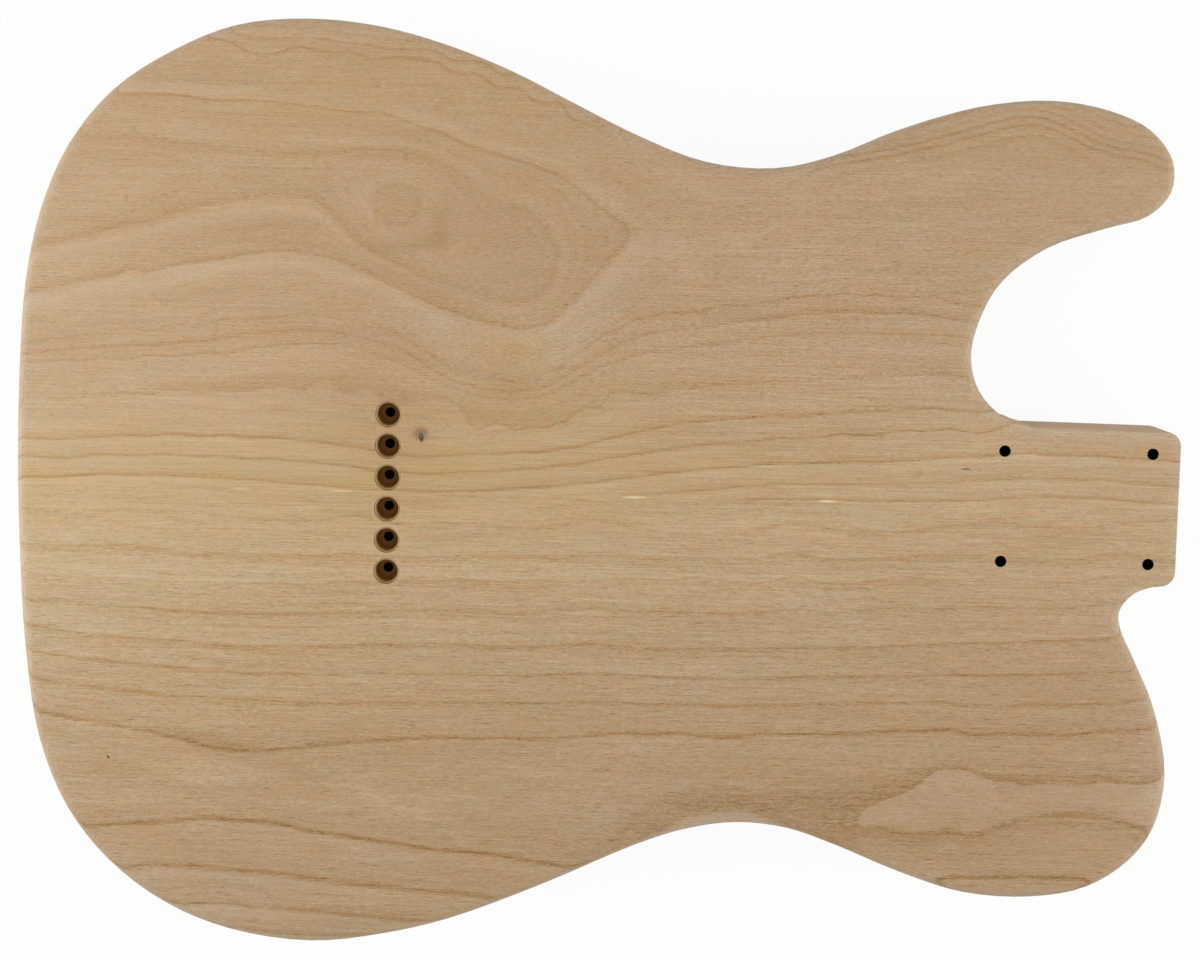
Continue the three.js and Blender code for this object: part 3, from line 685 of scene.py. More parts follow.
def place_in_mm(tree: bpy.types.NodeTree) -> Socket:
    """Returns the place on the object, in millimetres."""
    place = add_node(tree, "ShaderNodeTexCoord", output="Object")
    return add_node(tree, "ShaderNodeMapping", {"Vector": place, "Scale": (1 / MM,) * 3})


@dataclass(frozen=True)
class Pattern:
    """A cloudy pattern that is drawn out along the grain.

    Attributes:
        length_mm: How long its patches are.
        width_mm: How wide they are.
        levels: How strong it is, about zero.
        detail: How much finer detail it has.
        shift: How far it is moved, in patches.
    """

    length_mm: float
    width_mm: float
    levels: float
    detail: float = 1.0
    shift: tuple[float, float, float] = (0.0, 0.0, 0.0)

    def draw(self, tree: bpy.types.NodeTree, place: Socket) -> Socket:
        """Adds the pattern to a material.

        Args:
            tree: The material's nodes.
            place: The place in millimetres.

        Returns:
            The pattern in levels.
        """
        place = add_node(tree, "ShaderNodeMapping", {
            "Vector": place, "Location": self.shift,
            "Scale": (1 / self.length_mm, 1 / self.width_mm, 1 / self.width_mm)})
        noise = add_node(tree, "ShaderNodeTexNoise", {"Vector": place, "Scale": 1.0, "Detail": self.detail})
        return add_node(tree, "ShaderNodeMath", (noise, self.levels, -self.levels / 2),
                        operation="MULTIPLY_ADD")


@dataclass(frozen=True)
class SandedAlder:
    """Red alder, planed, edge glued, cut to shape, drilled and sanded bare.

    The wood is pale tan with fine short pores along the grain and a thin brown line where each year's growth
    ends. Bare sanded wood scatters light, with only a faint wide gloss. Sizes are in millimetres.
    """

    # The ramp runs from the dark wood of a growth line to pale early wood.
    ramp: tuple[tuple[float, str], ...] = (
        (0.0, "#7f5626"), (0.3, "#9c774d"), (0.6, "#b59571"), (1.0, "#d6c1a3"))
    levels_in_ramp: float = 100.0
    plain_wood: float = 0.6
    # One level of yellow or red changes the red, green and blue by these shares.
    yellow_shift: tuple[float, float, float] = (0.0, -0.002, -0.019)
    red_shift: tuple[float, float, float] = (0.010, -0.004, -0.011)
    ior: float = 1.5
    roughness: float = 0.62
    # Alder's fibres and pores are under 0.1 mm wide, too fine to show, so they are drawn about 0.3 mm wide.
    speck: Pattern = Pattern(0.6, 0.3, 24.0, detail=0.0)
    short_fibre: Pattern = Pattern(2.0, 0.26, 34.0)
    long_fibre: Pattern = Pattern(14.0, 0.28, 26.0)
    vessel_line: Pattern = Pattern(70.0, 0.36, 18.0)
    # Where fibres run straight, the short ones fade by this share.
    short_trade: float = 0.45
    # A pore opens where its pattern is between these strengths, and is dark and deep in full at the second.
    pore: Pattern = Pattern(3.4, 0.26, 1.0, shift=(31.0, 17.0, 5.0))
    pore_share: Point = (0.1, 0.3)
    pore_levels: float = 32.0
    pore_depth: float = 0.03
    cloud: Pattern = Pattern(60.0, 12.0, 12.0, detail=2.0)
    # The wood turns redder and yellower in patches of one size that lie apart, and yellower in dark lines.
    red_fibre: Pattern = Pattern(5.0, 1.3, 14.0)
    yellow_fibre: Pattern = Pattern(5.0, 1.3, 10.0)
    hue_cloud: Pattern = Pattern(22.0, 6.0, 9.0)
    apart: float = 53.0
    line_yellow: float = 0.22
    # Broad streaks and fine hairs follow the rings: their length, their number in a ring and their levels.
    streaks: tuple[tuple[float, float, float], ...] = ((90.0, 6.0, 10.0), (45.0, 14.0, 12.0))
    streak_detail: float = 2.0
    # A growth line wavers and is ragged by these millimetres, and is darker and fainter in turns.
    waver: Pattern = Pattern(16.0, 4.0, 0.22, detail=2.0)
    ragged: Pattern = Pattern(2.0, 0.26, 0.5)
    line_break: Pattern = Pattern(9.0, 0.9, 1.5)
    # How much late and early wood there is at each age of a ring.
    late_wood: tuple[Point, ...] = ((0.0, 0.0), (0.6, 0.0), (0.8, 0.4), (1.0, 1.0))
    early_wood: tuple[Point, ...] = ((0.0, 0.4), (0.08, 0.7), (0.2, 1.0), (0.3, 0.6), (0.5, 0.0), (1.0, 0.0))

    def build(self, name: str, seed: float, marks: tuple[Mark, ...], camera: CopyCamera,
              face_mm: float) -> bpy.types.Material:
        """Makes the material.

        Args:
            name: The material's name.
            seed: How far the noise is shifted, so the two boards differ.
            marks: The small marks on the board.
            camera: The camera whose pixels the marks are given in.
            face_mm: The back face's height.

        Returns:
            The material.
        """
        material, tree = new_material(name)
        place = place_in_mm(tree)
        shifted = add_node(tree, "ShaderNodeMapping", {"Vector": place, "Location": (seed,) * 3})
        grain = {key: add_node(tree, "ShaderNodeAttribute", output="Fac", attribute_name=key)
                 for key in ("ring", "pitch", "line", "fade_before", "fade_after", "late", "early", "tone",
                             "yellow", "red", "coarse", "straight")}

        coarse = add_node(tree, "ShaderNodeMath", (grain["coarse"], 1.0), operation="ADD")
        fibres = self._fibres(tree, shifted, grain["straight"])
        fibres = add_node(tree, "ShaderNodeMath", (fibres, coarse), operation="MULTIPLY")
        relief = add_node(tree, "ShaderNodeMath", (fibres, 1 / self.pore_levels), operation="MULTIPLY")
        broken = add_node(tree, "ShaderNodeMath", (1.0, relief), operation="SUBTRACT")
        growth = self._growth(tree, shifted, grain)
        growth = add_node(tree, "ShaderNodeMath", (growth, broken), operation="MULTIPLY")
        total = grain["tone"]
        for part in (fibres, growth, self._streaks(tree, shifted, seed, grain["ring"]),
                     self.cloud.draw(tree, shifted)):
            total = add_node(tree, "ShaderNodeMath", (total, part), operation="ADD")
        shade = add_node(tree, "ShaderNodeMath", (total, 1 / self.levels_in_ramp, self.plain_wood),
                         operation="MULTIPLY_ADD")
        colour = add_node(tree, "ShaderNodeValToRGB", (shade,), stops=self.ramp)
        hue = self._hue(tree, shifted, grain, growth)
        colour = add_node(tree, "ShaderNodeVectorMath", (colour, hue), operation="MULTIPLY")
        for mark in marks:
            colour = self._mark(tree, place, colour, mark, camera, face_mm)
        relief = add_node(tree, "ShaderNodeBump", {
            "Height": relief, "Distance": self.pore_depth * MM, "Strength": 1.0})
        surface = add_node(tree, "ShaderNodeBsdfPrincipled", {
            "Base Color": colour, "Normal": relief, "Roughness": self.roughness, "IOR": self.ior})
        add_node(tree, "ShaderNodeOutputMaterial", (surface,))
        return material

    def _hue(self, tree: bpy.types.NodeTree, place: Socket, grain: dict[str, Socket],
             growth: Socket) -> Socket:
        """Draws how much yellower and redder the wood is.

        Args:
            tree: The material's nodes.
            place: The place in millimetres, shifted for the board.
            grain: The values stored in the mesh.
            growth: The rings' shade in levels.

        Returns:
            What the wood's colour is multiplied by.
        """
        elsewhere = add_node(tree, "ShaderNodeMapping", {"Vector": place, "Location": (self.apart,) * 3})
        yellow = add_node(tree, "ShaderNodeMath", (growth, -self.line_yellow, grain["yellow"]),
                          operation="MULTIPLY_ADD")
        hue = (1.0,) * 3
        for amount, spot, fibre, shift in ((yellow, elsewhere, self.yellow_fibre, self.yellow_shift),
                                           (grain["red"], place, self.red_fibre, self.red_shift)):
            for pattern in (fibre, self.hue_cloud):
                amount = add_node(tree, "ShaderNodeMath", (amount, pattern.draw(tree, spot)), operation="ADD")
            hue = add_node(tree, "ShaderNodeVectorMath", (amount, shift, hue), operation="MULTIPLY_ADD")
        return hue

    def _fibres(self, tree: bpy.types.NodeTree, place: Socket, straight: Socket) -> Socket:
        """Draws the fine fibres and the dark pores between them.

        Args:
            tree: The material's nodes.
            place: The place in millimetres, shifted for the board.
            straight: How much longer the fibres run than usual, as a share.

        Returns:
            The fibres in levels.
        """
        less = add_node(tree, "ShaderNodeMath", (straight, -self.short_trade, 1.0), operation="MULTIPLY_ADD")
        more = add_node(tree, "ShaderNodeMath", (straight, 1.0), operation="ADD")
        pores = self.pore.draw(tree, place)
        pores = add_node(tree, "ShaderNodeMapRange", (pores, *self.pore_share, 0.0, -self.pore_levels))
        total = add_node(tree, "ShaderNodeMath", (pores, self.speck.draw(tree, place)), operation="ADD")
        for pattern, share in ((self.short_fibre, less), (self.long_fibre, more), (self.vessel_line, more)):
            total = add_node(tree, "ShaderNodeMath", (pattern.draw(tree, place), share, total),
                             operation="MULTIPLY_ADD")
        return total

    def _streaks(self, tree: bpy.types.NodeTree, place: Socket, seed: float, ring: Socket) -> Socket:
        """Draws broad streaks and fine hairs that follow the rings.

        Args:
            tree: The material's nodes.
            place: The place in millimetres, shifted for the board.
            seed: The board's own number.
            ring: The ring number.

        Returns:
            The streaks in levels.
        """
        x = add_node(tree, "ShaderNodeSeparateXYZ", (place,), output="X")
        total = -sum(levels for *_, levels in self.streaks) / 2     # puts the middle of the noise at zero
        for length, number, levels in self.streaks:
            along = add_node(tree, "ShaderNodeMath", (x, length), operation="DIVIDE")
            across = add_node(tree, "ShaderNodeMath", (ring, number), operation="MULTIPLY")
            noise = add_node(tree, "ShaderNodeCombineXYZ", (along, across, seed))
            noise = add_node(tree, "ShaderNodeTexNoise", {
                "Vector": noise, "Scale": 1.0, "Detail": self.streak_detail})
            total = add_node(tree, "ShaderNodeMath", (noise, levels, total), operation="MULTIPLY_ADD")
        return total

    def _growth(self, tree: bpy.types.NodeTree, place: Socket, grain: dict[str, Socket]) -> Socket:
        """Draws the growth rings.

        Args:
            tree: The material's nodes.
            place: The place in millimetres, shifted for the board.
            grain: The values stored in the mesh.

        Returns:
            The rings' shade in levels.
        """
        waver, ragged = self.waver.draw(tree, place), self.ragged.draw(tree, place)
        waver = add_node(tree, "ShaderNodeMath", (waver, ragged), operation="ADD")
        waver = add_node(tree, "ShaderNodeMath", (waver, grain["pitch"]), operation="DIVIDE")
        ring = add_node(tree, "ShaderNodeMath", (grain["ring"], waver), operation="ADD")
        age = add_node(tree, "ShaderNodeMath", (ring,), operation="FRACT")
        after = add_node(tree, "ShaderNodeMath", (age, grain["pitch"]), operation="MULTIPLY")
        before = add_node(tree, "ShaderNodeMath", (grain["pitch"], after), operation="SUBTRACT")
        after = add_node(tree, "ShaderNodeMapRange", (after, 0.0, grain["fade_after"], 1.0, 0.0))
        before = add_node(tree, "ShaderNodeMapRange", (before, 0.0, grain["fade_before"], 1.0, 0.0))
        line = add_node(tree, "ShaderNodeMath", (before, after), operation="MAXIMUM")
        late = add_node(tree, "ShaderNodeFloatCurve", {"Value": age}, stops=self.late_wood)
        late = add_node(tree, "ShaderNodeMath", (late, after), operation="MAXIMUM")
        early = add_node(tree, "ShaderNodeFloatCurve", {"Value": age}, stops=self.early_wood)
        broken = add_node(tree, "ShaderNodeMath", (self.line_break.draw(tree, place), 1.0), operation="ADD")
        line = add_node(tree, "ShaderNodeMath", (line, broken), operation="MULTIPLY")
        total = add_node(tree, "ShaderNodeMath", (early, grain["early"]), operation="MULTIPLY")
        for shape, key in ((late, "late"), (line, "line")):
            part = add_node(tree, "ShaderNodeMath", (shape, grain[key]), operation="MULTIPLY")
            total = add_node(tree, "ShaderNodeMath", (total, part), operation="SUBTRACT")
        return total

    def _mark(self, tree: bpy.types.NodeTree, place: Socket, colour: Socket, mark: Mark, camera: CopyCamera,
              face_mm: float) -> Socket:
        """Lays a small mark over the wood's colour.

        Args:
            tree: The material's nodes.
            place: The place in millimetres.
            colour: The wood's colour.
            mark: The mark.
            camera: The camera whose pixels the mark is given in.
            face_mm: The back face's height.

        Returns:
            The colour with the mark.
        """
        centre, length, width = camera.axes(mark.centre_px, mark.half_px, mark.lean_degrees, face_mm)
        half = (float(np.linalg.norm(length)), float(np.linalg.norm(width)))
        local = add_node(tree, "ShaderNodeMapping", {
            "Vector": place, "Location": (*centre, face_mm), "Scale": (*half, max(half)),
            "Rotation": (0.0, 0.0, math.atan2(length[1], length[0]))}, vector_type="TEXTURE")
        reach = add_node(tree, "ShaderNodeVectorMath", (local,), output="Value", operation="LENGTH")
        cover = add_node(tree, "ShaderNodeMapRange", (reach, mark.core, 1.0, mark.cover, 0.0),
                         interpolation_type="SMOOTHSTEP")
        # A Mix node of colours takes its share as input 0 and its colours as 6 and 7, and gives output 2.
        return add_node(tree, "ShaderNodeMix", {0: cover, 6: colour, 7: linear(mark.colour)}, output=2,
                        data_type="RGBA")


@dataclass(frozen=True)
class DrilledAlderAndHoleShade:
    """Alder as a drill leaves it: torn end grain, dull and marked with faint rings, with painted shade in its
    holes.

    Its wall is browner, partly from the drill's heat and partly as painted shade. A dark brown painted shade
    lies round the top of each ferrule bore, and the string holes and neck screw holes are painted near black
    as their shade. It has no gloss. Sizes are in millimetres.

    Attributes:
        wall: The colour of a ferrule bore's bottom and wall, browner than the sanded wood, partly as painted
            shade.
        hole_shade: The near-black painted shade of the string holes and the neck screw holes.
        string_hole_radius: How far a string hole reaches.
        mouth_shade: The dark brown painted shade on the corner round the top of a ferrule bore.
        mouth_starts: How far past the bore's radius that corner starts.
        mouth_ends: How far past the bore's radius it ends.
        ledge: The colour of the shallow step round the bore.
        rim: The colour of the step's outer corner and its wall.
        rim_width: How wide that corner is.
        screw_slack: How much farther than its radius a screw hole's painted black shade reaches, as a share.
        drill_ring: How far apart the drill's faint rings are.
        ring_shades: How dark and how pale they are, as shares.
    """

    wall: str = "#b58c52"
    hole_shade: str = "#100b06"
    string_hole_radius: float = 1.66
    mouth_shade: str = "#523a20"
    mouth_starts: float = 0.04
    mouth_ends: float = 0.14
    ledge: str = "#d3b283"
    rim: str = "#664a2b"
    rim_width: float = 0.22
    screw_slack: float = 1.2
    drill_ring: float = 0.8
    ring_shades: Point = (0.8, 1.1)

    def build(self, name: str, bores: tuple[Bore, ...]) -> bpy.types.Material:
        """Makes the material.

        Args:
            name: The material's name.
            bores: The holes of the board.

        Returns:
            The material.
        """
        material, tree = new_material(name)
        flat = add_node(tree, "ShaderNodeVectorMath", (place_in_mm(tree), (1.0, 1.0, 0.0)),
                        operation="MULTIPLY")
        wide = max(bores, key=lambda bore: bore.lip_mm)
        nearest = wide.lip_mm
        for bore in bores:
            reach = add_node(tree, "ShaderNodeVectorMath", (flat, (*bore.centre_mm, 0.0)), output="Value",
                             operation="DISTANCE")
            if bore.lip_mm == bore.radius_mm:
                share = self.string_hole_radius / (bore.radius_mm * self.screw_slack)
                reach = add_node(tree, "ShaderNodeMath", (reach, share), operation="MULTIPLY")
            nearest = add_node(tree, "ShaderNodeMath", (nearest, reach), operation="MINIMUM")
        part = add_node(tree, "ShaderNodeMath", (nearest, wide.lip_mm), operation="DIVIDE")
        # Painted shade: the string and screw holes are near black, and a dark brown ring lies round the top
        # of the ferrule bore.
        stops = ((0.0, self.hole_shade), (self.string_hole_radius, self.wall),
                 (wide.radius_mm + self.mouth_starts, self.mouth_shade),
                 (wide.radius_mm + self.mouth_ends, self.ledge), (wide.lip_mm - self.rim_width, self.rim))
        stops = tuple((start / wide.lip_mm, colour) for start, colour in stops)
        colour = add_node(tree, "ShaderNodeValToRGB", (part,), stops=stops)
        tree.nodes[-1].color_ramp.interpolation = "CONSTANT"
        mark = add_node(tree, "ShaderNodeMath", (nearest, self.drill_ring), operation="PINGPONG")
        mark = add_node(tree, "ShaderNodeMapRange", (mark, 0.0, self.drill_ring, *self.ring_shades))
        colour = add_node(tree, "ShaderNodeVectorMath", {0: colour, "Scale": mark}, operation="SCALE")
        surface = add_node(tree, "ShaderNodeBsdfPrincipled", {
            "Base Color": colour, "Roughness": 1.0, "Specular IOR Level": 0.0})
        add_node(tree, "ShaderNodeOutputMaterial", (surface,))
        return material


@dataclass
class BodyBoard:
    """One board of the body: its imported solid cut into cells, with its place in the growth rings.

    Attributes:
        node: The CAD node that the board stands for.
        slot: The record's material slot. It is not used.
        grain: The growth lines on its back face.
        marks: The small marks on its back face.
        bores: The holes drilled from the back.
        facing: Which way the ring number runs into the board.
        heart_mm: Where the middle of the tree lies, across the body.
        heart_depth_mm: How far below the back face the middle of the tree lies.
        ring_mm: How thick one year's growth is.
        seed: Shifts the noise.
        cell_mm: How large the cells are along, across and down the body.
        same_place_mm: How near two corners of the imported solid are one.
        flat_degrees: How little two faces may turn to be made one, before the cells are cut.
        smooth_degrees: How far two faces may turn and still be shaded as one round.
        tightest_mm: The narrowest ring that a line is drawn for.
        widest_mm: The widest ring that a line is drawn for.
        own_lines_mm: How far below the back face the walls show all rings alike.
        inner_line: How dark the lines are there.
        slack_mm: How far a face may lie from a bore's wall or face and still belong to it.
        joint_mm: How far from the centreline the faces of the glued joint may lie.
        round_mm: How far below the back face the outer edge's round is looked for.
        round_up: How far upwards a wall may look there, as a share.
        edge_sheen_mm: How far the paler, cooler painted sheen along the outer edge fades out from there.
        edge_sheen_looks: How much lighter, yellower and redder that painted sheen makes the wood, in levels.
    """

    node: str
    slot: str
    grain: tuple[GrainLine, ...]
    marks: tuple[Mark, ...]
    bores: tuple[Bore, ...]
    facing: Facing
    heart_mm: float
    heart_depth_mm: float = 100.0
    ring_mm: float = 5.6
    seed: float = 0.0
    cell_mm: tuple[float, float, float] = (1.8, 1.8, 5.0)
    same_place_mm: float = 0.001
    flat_degrees: float = 0.3
    smooth_degrees: float = 30.0
    tightest_mm: float = 1.5
    widest_mm: float = 60.0
    own_lines_mm: float = 8.0
    inner_line: float = 9.0
    slack_mm: float = 0.05
    joint_mm: float = 0.2
    round_mm: float = 4.0
    round_up: float = 0.5
    edge_sheen_mm: float = 3.0
    edge_sheen_looks: tuple[float, float, float] = (5.0, -6.0, -3.0)

    def build(self, camera: CopyCamera) -> bpy.types.Object:
        """Builds and dresses the board.

        Args:
            camera: The camera whose pixels the grain lines are given in.

        Returns:
            The finished piece.
        """
        piece = self._cells()
        face_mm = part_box(self.node)[1][2] / MM
        self._lay_grain(piece, camera, face_mm)
        piece.data.materials.clear()
        sanded, drilled = self.node + "_sanded_alder", self.node + "_drilled_alder_and_hole_shade"
        piece.data.materials.append(SandedAlder().build(sanded, self.seed, self.marks, camera, face_mm))
        piece.data.materials.append(DrilledAlderAndHoleShade().build(drilled, self.bores))
        self._give_bores_their_finish_and_shade(piece, face_mm)
        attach(piece, ROOT)
        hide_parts(self.node)
        LOG.info("%s: %d faces", piece.name, len(piece.data.polygons))
        return piece

    def _cells(self) -> bpy.types.Object:
        """Copies the solid, merges its faces and cuts them into cells.

        Returns:
            The copy.
        """
        source = frame["nodes"][self.node]
        piece = bpy.data.objects.new(self.node + "_wood", source.data.copy())
        bpy.context.scene.collection.objects.link(piece)
        bpy.ops.object.select_all(action="DESELECT")
        piece.select_set(True)
        bpy.context.view_layer.objects.active = piece
        low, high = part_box(self.node)
        bpy.ops.object.mode_set(mode="EDIT")
        bpy.ops.mesh.select_all(action="SELECT")
        bpy.ops.mesh.remove_doubles(threshold=self.same_place_mm * MM)
        bpy.ops.mesh.dissolve_limited(angle_limit=math.radians(self.flat_degrees))
        for axis, step in enumerate(self.cell_mm):
            count = math.ceil((high[axis] - low[axis]) / (step * MM))
            for cut in range(1, count):
                spot, normal = [0.0, 0.0, 0.0], [0.0, 0.0, 0.0]
                spot[axis] = low[axis] + (high[axis] - low[axis]) * cut / count
                normal[axis] = 1.0
                bpy.ops.mesh.select_all(action="SELECT")
                bpy.ops.mesh.bisect(plane_co=spot, plane_no=normal)
        bpy.ops.object.mode_set(mode="OBJECT")
        bpy.ops.object.shade_smooth_by_angle(angle=math.radians(self.smooth_degrees))
        bpy.ops.object.modifier_add(type="WEIGHTED_NORMAL")
        piece.modifiers[-1].keep_sharp = True
        bpy.ops.object.modifier_apply(modifier=piece.modifiers[-1].name)
        return piece

    def _give_bores_their_finish_and_shade(self, piece: bpy.types.Object, face_mm: float) -> None:
        """Gives the second material, which paints the holes' shade, to the faces inside the bores.

        Args:
            piece: The board's mesh.
            face_mm: The back face's height.
        """
        for face in piece.data.polygons:
            x, y, z = (part / MM for part in face.center)
            inside = any(math.dist((x, y), bore.centre_mm) < bore.lip_mm + self.slack_mm
                         for bore in self.bores)
            if inside and z < face_mm - self.slack_mm:
                face.material_index = 1

    def _lay_grain(self, piece: bpy.types.Object, camera: CopyCamera, face_mm: float) -> None:
        """Stores each corner's ring number, ring pitch and looks.

        Args:
            piece: The board's mesh.
            camera: The camera whose pixels the grain lines are given in.
            face_mm: The back face's height.
        """
        mesh = piece.data
        places, normals = (np.empty(len(mesh.vertices) * 3) for _ in range(2))
        mesh.vertices.foreach_get("co", places)
        mesh.vertices.foreach_get("normal", normals)
        places, normals = places.reshape(-1, 3) / MM, normals.reshape(-1, 3)
        values = GrainField(self.grain, camera, face_mm).sample(places[:, :2])
        aside = places[:, 1] - self.heart_mm
        height = self.heart_depth_mm - (face_mm - places[:, 2])
        near, far = np.hypot(aside, height), np.hypot(aside, self.heart_depth_mm)
        sign = self.facing.value / self.ring_mm
        values["ring"] = values["ring"] + sign * (near - far)
        along, across = values.pop("slope").T
        slope = np.column_stack([
            along, across + sign * (aside / near - aside / far), sign * height / near])
        slope -= (slope * normals).sum(axis=1)[:, None] * normals
        values["pitch"] = 1 / np.clip(
            np.linalg.norm(slope, axis=1), 1 / self.widest_mm, 1 / self.tightest_mm)
        inside = np.clip((face_mm - places[:, 2]) / self.own_lines_mm, 0.0, 1.0)
        values["line"] += inside * (self.inner_line - values["line"])
        values.update(self._tone(places[:, :2], camera, face_mm))
        # Painted sheen: the wood near the outer edge is made paler and cooler, as light catches the rounded
        # edge.
        rim = self._painted_edge_sheen(places, normals, face_mm)
        for key, amount in zip(("tone", "yellow", "red"), self.edge_sheen_looks):
            values[key] += amount * rim
        for key, numbers in values.items():
            store = mesh.attributes.new(key, "FLOAT", "POINT")
            store.data.foreach_set("value", numbers.astype(np.float32))

    def _painted_edge_sheen(self, places: np.ndarray, normals: np.ndarray, face_mm: float) -> np.ndarray:
        """Finds how near each place is to the outer edge of the back face, where a paler, cooler painted
        sheen is laid.

        Args:
            places: One row of x, y and z in millimetres for each place.
            normals: Which way the surface faces there.
            face_mm: The back face's height.

        Returns:
            The share of the painted sheen, 1 at the edge itself.
        """
        wall = (np.abs(normals[:, 2]) < self.round_up) & (places[:, 2] > face_mm - self.round_mm)
        wall &= np.abs(places[:, 1]) > self.joint_mm
        for bore in self.bores:
            wall &= np.hypot(*(places[:, :2] - bore.centre_mm).T) > bore.lip_mm + self.slack_mm
        edge = KDTree(int(wall.sum()))
        for number, place in enumerate(places[wall]):
            edge.insert(place, number)
        edge.balance()
        away = np.array([edge.find(place)[2] for place in places])
        return np.exp(-(away / self.edge_sheen_mm) ** 2)

    @staticmethod
    def _tone(spots_mm: np.ndarray, camera: CopyCamera, face_mm: float) -> dict[str, np.ndarray]:
        """Adds up the soft patches.

        Args:
            spots_mm: One row of x and y for each place.
            camera: The camera whose pixels the patches are given in.
            face_mm: The back face's height.

        Returns:
            How much lighter, yellower, redder, coarser and straighter they make each place.
        """
        looks = {"tone": "levels", **{key: key for key in ("yellow", "red", "coarse", "straight")}}
        tone = {key: np.zeros(len(spots_mm)) for key in looks}
        for patch in TONE_PATCHES:
            centre, length, width = camera.axes(patch.centre_px, patch.reach_px, patch.lean_degrees, face_mm)
            local = np.linalg.solve(np.column_stack([length, width]), (spots_mm - centre).T)
            share = np.exp(-(local ** 2).sum(axis=0))
            for key, look in looks.items():
                tone[key] += getattr(patch, look) * share
        return tone


@dataclass(frozen=True)
class WoodGlue:
    """Cured yellow wood glue, sanded flush: a thin film that takes the wood's colour from both sides."""

    shades: tuple[tuple[float, str], ...] = ((0.35, "#ab8a60"), (0.65, "#c0a275"))
    patch_mm: float = 12.0
    roughness: float = 0.5

    def dress(self, piece: bpy.types.Object) -> None:
        """Gives the glue film its material.

        Args:
            piece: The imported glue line.
        """
        material, tree = new_material("cured_wood_glue")
        noise = add_node(tree, "ShaderNodeTexNoise", {
            "Vector": place_in_mm(tree), "Scale": 1 / self.patch_mm, "Detail": 2.0})
        colour = add_node(tree, "ShaderNodeValToRGB", (noise,), stops=self.shades)
        surface = add_node(tree, "ShaderNodeBsdfPrincipled", {
            "Base Color": colour, "Roughness": self.roughness})
        add_node(tree, "ShaderNodeOutputMaterial", (surface,))
        piece.data.materials.clear()
        piece.data.materials.append(material)


@dataclass(frozen=True)
class PhotoStudio:
    """White paper, two low soft boxes at the ends of the body and even light from all round.

    Attributes:
        middle: What the lamps point at, in metres, as are all lengths here.
        floor_size: How large the paper is.
        floor_height: How high it lies, just below the object.
        floor_colour: Its colour in the light of the lamps.
        floor_glow: How much of plain white the camera sees of it, over the shadow.
        ambient: How strong the light from all round is.
        box_size: A soft box's width and height.
        box_distance: How far from the middle it stands.
        box_height: How high above the middle it stands.
        tail_watts: The power of the soft box at the tail end.
        neck_watts: The power of the soft box at the neck end.
    """

    middle: tuple[float, float, float] = (0.07, 0.0, 0.02)
    floor_size: float = 6.0
    floor_height: float = -0.0002
    floor_colour: str = "#f4f3f0"
    floor_glow: float = 0.93
    ambient: float = 0.62
    box_size: Point = (1.0, 1.4)
    box_distance: float = 1.7
    box_height: float = 0.75
    tail_watts: float = 18.3
    neck_watts: float = 17.2

    def build(self) -> None:
        """Builds the floor, the world and the lamps."""
        self._floor()
        self._world()
        middle = Vector(self.middle)
        for name, side, watts in (("soft_box_tail", -1, self.tail_watts),
                                  ("soft_box_neck", 1, self.neck_watts)):
            lamp = bpy.data.lights.new(name, "AREA")
            lamp.shape = "RECTANGLE"
            lamp.size, lamp.size_y = self.box_size
            lamp.energy = watts
            stand = bpy.data.objects.new(name, lamp)
            stand.location = middle + Vector((side * self.box_distance, 0.0, self.box_height))
            stand.rotation_euler = (middle - stand.location).to_track_quat("-Z", "Y").to_euler()
            bpy.context.scene.collection.objects.link(stand)

    def _seen(self, tree: bpy.types.NodeTree) -> Socket:
        """Tells the camera's view from the light on the object.

        Args:
            tree: The nodes of a material or of the world.

        Returns:
            1 for what the camera sees, straight on, mirrored or through glass, and 0 otherwise.
        """
        rays = [add_node(tree, "ShaderNodeLightPath", output=kind)
                for kind in ("Is Camera Ray", "Is Glossy Ray", "Is Transmission Ray")]
        seen = add_node(tree, "ShaderNodeMath", rays[:2], operation="MAXIMUM")
        return add_node(tree, "ShaderNodeMath", (seen, rays[2]), operation="MAXIMUM")

    def _floor(self) -> None:
        """Builds the paper, which shows white to the camera and keeps the object's shadow."""
        bpy.ops.object.select_all(action="DESELECT")
        bpy.ops.mesh.primitive_plane_add(
            size=self.floor_size, location=(self.middle[0], 0.0, self.floor_height))
        floor = bpy.context.active_object
        floor.name = "studio_paper"
        material, tree = new_material("matt_white_paper")
        glow = add_node(tree, "ShaderNodeMath", (self._seen(tree), self.floor_glow), operation="MULTIPLY")
        paper = add_node(tree, "ShaderNodeBsdfDiffuse", {"Color": linear(self.floor_colour)})
        white = add_node(tree, "ShaderNodeEmission", {"Color": WHITE, "Strength": 1.0})
        mixed = add_node(tree, "ShaderNodeMixShader", (glow, paper, white))
        add_node(tree, "ShaderNodeOutputMaterial", (mixed,))
        floor.data.materials.append(material)

    def _world(self) -> None:
        """Lights the object evenly and shows plain white behind it."""
        world = bpy.data.worlds.new("studio_light")
        bpy.context.scene.world = world
        world.use_nodes = True
        tree = world.node_tree
        tree.nodes.clear()
        strength = add_node(tree, "ShaderNodeMapRange", (self._seen(tree), 0.0, 1.0, self.ambient, 1.0))
        light = add_node(tree, "ShaderNodeBackground", {"Color": WHITE, "Strength": strength})
        add_node(tree, "ShaderNodeOutputWorld", (light,))


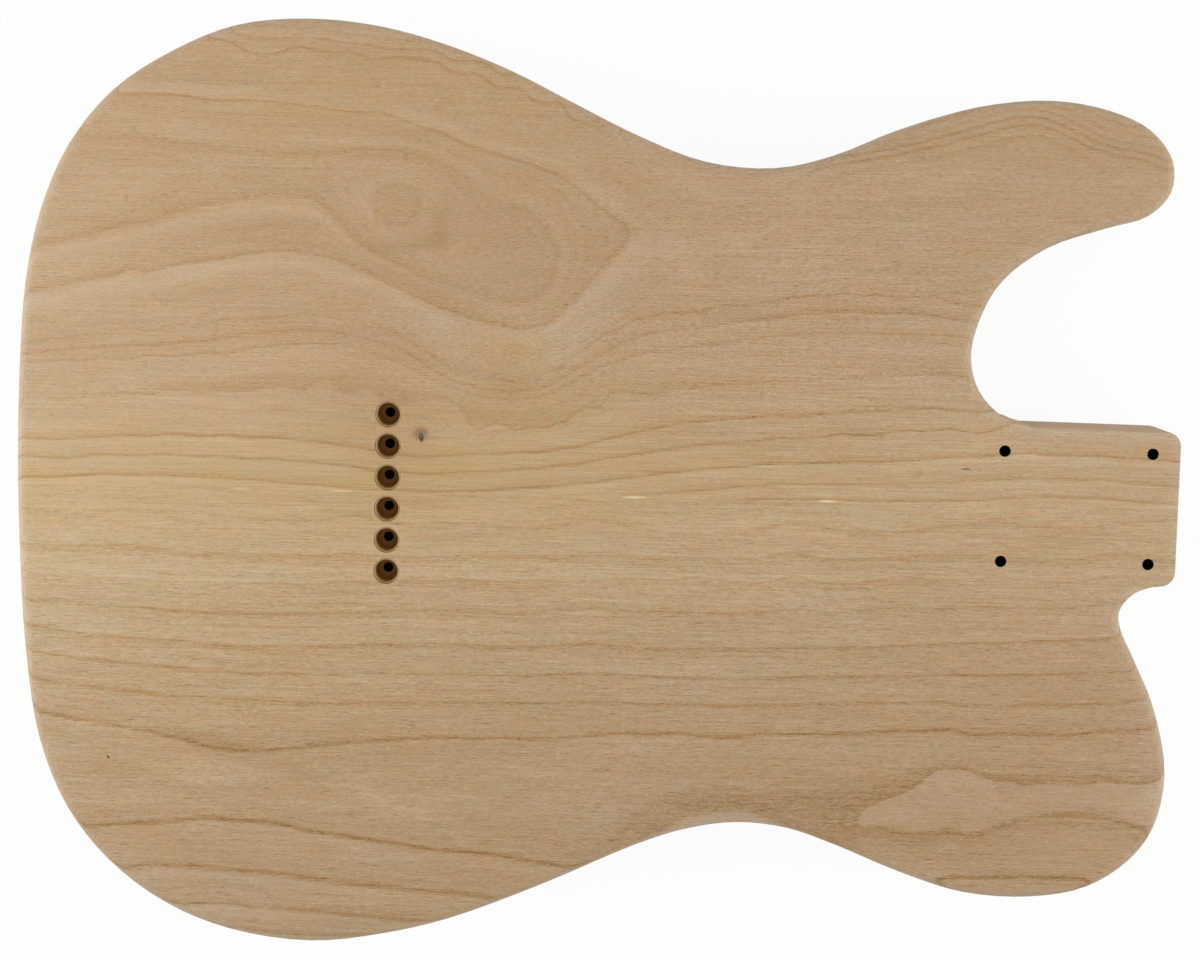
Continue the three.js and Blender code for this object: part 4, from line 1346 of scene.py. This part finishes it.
@dataclass(frozen=True)
class DrilledHoles:
    """The holes that open on the back face, placed by the record's openings and mounts.

    Attributes:
        ferrule_radius_mm: The radius of a string ferrule's bore.
        ferrule_lip_mm: The radius of the shallow step that its flange sits in.
        screw_radius_mm: The radius of a neck screw's hole.
        screw_spacing_mm: How far apart the neck screws are, along and across the neck.
    """

    ferrule_radius_mm: float = 3.85
    ferrule_lip_mm: float = 4.425
    screw_radius_mm: float = 2.0
    screw_spacing_mm: Point = (50.8, 38.1)

    def list_bores(self) -> tuple[Bore, ...]:
        """Places the holes.

        Returns:
            All the holes.
        """
        record = frame["record"]
        bores = []
        for opening in record["physics"]["openings"]:
            if opening["name"].startswith("ferrule_bore"):
                low, high = opening["box_m"]
                centre = ((low[0] + high[0]) / 2 / MM, (low[1] + high[1]) / 2 / MM)
                bores.append(Bore(centre, self.ferrule_radius_mm, self.ferrule_lip_mm))
        seat = next(mount for mount in record["mounts"] if mount["name"] == "neck_plate_seat")["pos_m"]
        for along in (-0.5, 0.5):
            for across in (-0.5, 0.5):
                centre = (seat[0] / MM + along * self.screw_spacing_mm[0],
                          seat[1] / MM + across * self.screw_spacing_mm[1])
                bores.append(Bore(centre, self.screw_radius_mm, self.screw_radius_mm))
        return tuple(bores)


def main() -> None:
    """Builds the scene and reports each piece."""
    logging.basicConfig(level=logging.INFO, format="%(message)s")
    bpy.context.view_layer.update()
    camera = CopyCamera()
    camera.build()
    bores = DrilledHoles().list_bores()
    treble_bores = tuple(bore for bore in bores if bore.centre_mm[1] > 0)
    bass_bores = tuple(bore for bore in bores if bore.centre_mm[1] < 0)
    boards = (
        BodyBoard("treble_board", "treble_board_wood", TREBLE_GRAIN, TREBLE_MARKS, treble_bores,
                  Facing.FALLS_WITH_DEPTH, heart_mm=106.0),
        BodyBoard("bass_board", "bass_board_wood", BASS_GRAIN, BASS_MARKS, bass_bores,
                  Facing.RISES_WITH_DEPTH, heart_mm=-104.0, seed=211.0),
    )
    for board in boards:
        board.build(camera)
    WoodGlue().dress(frame["nodes"]["glue_line"])
    PhotoStudio().build()
    bpy.context.scene.view_settings.view_transform = "Standard"


if __name__ == "__main__":
    main()
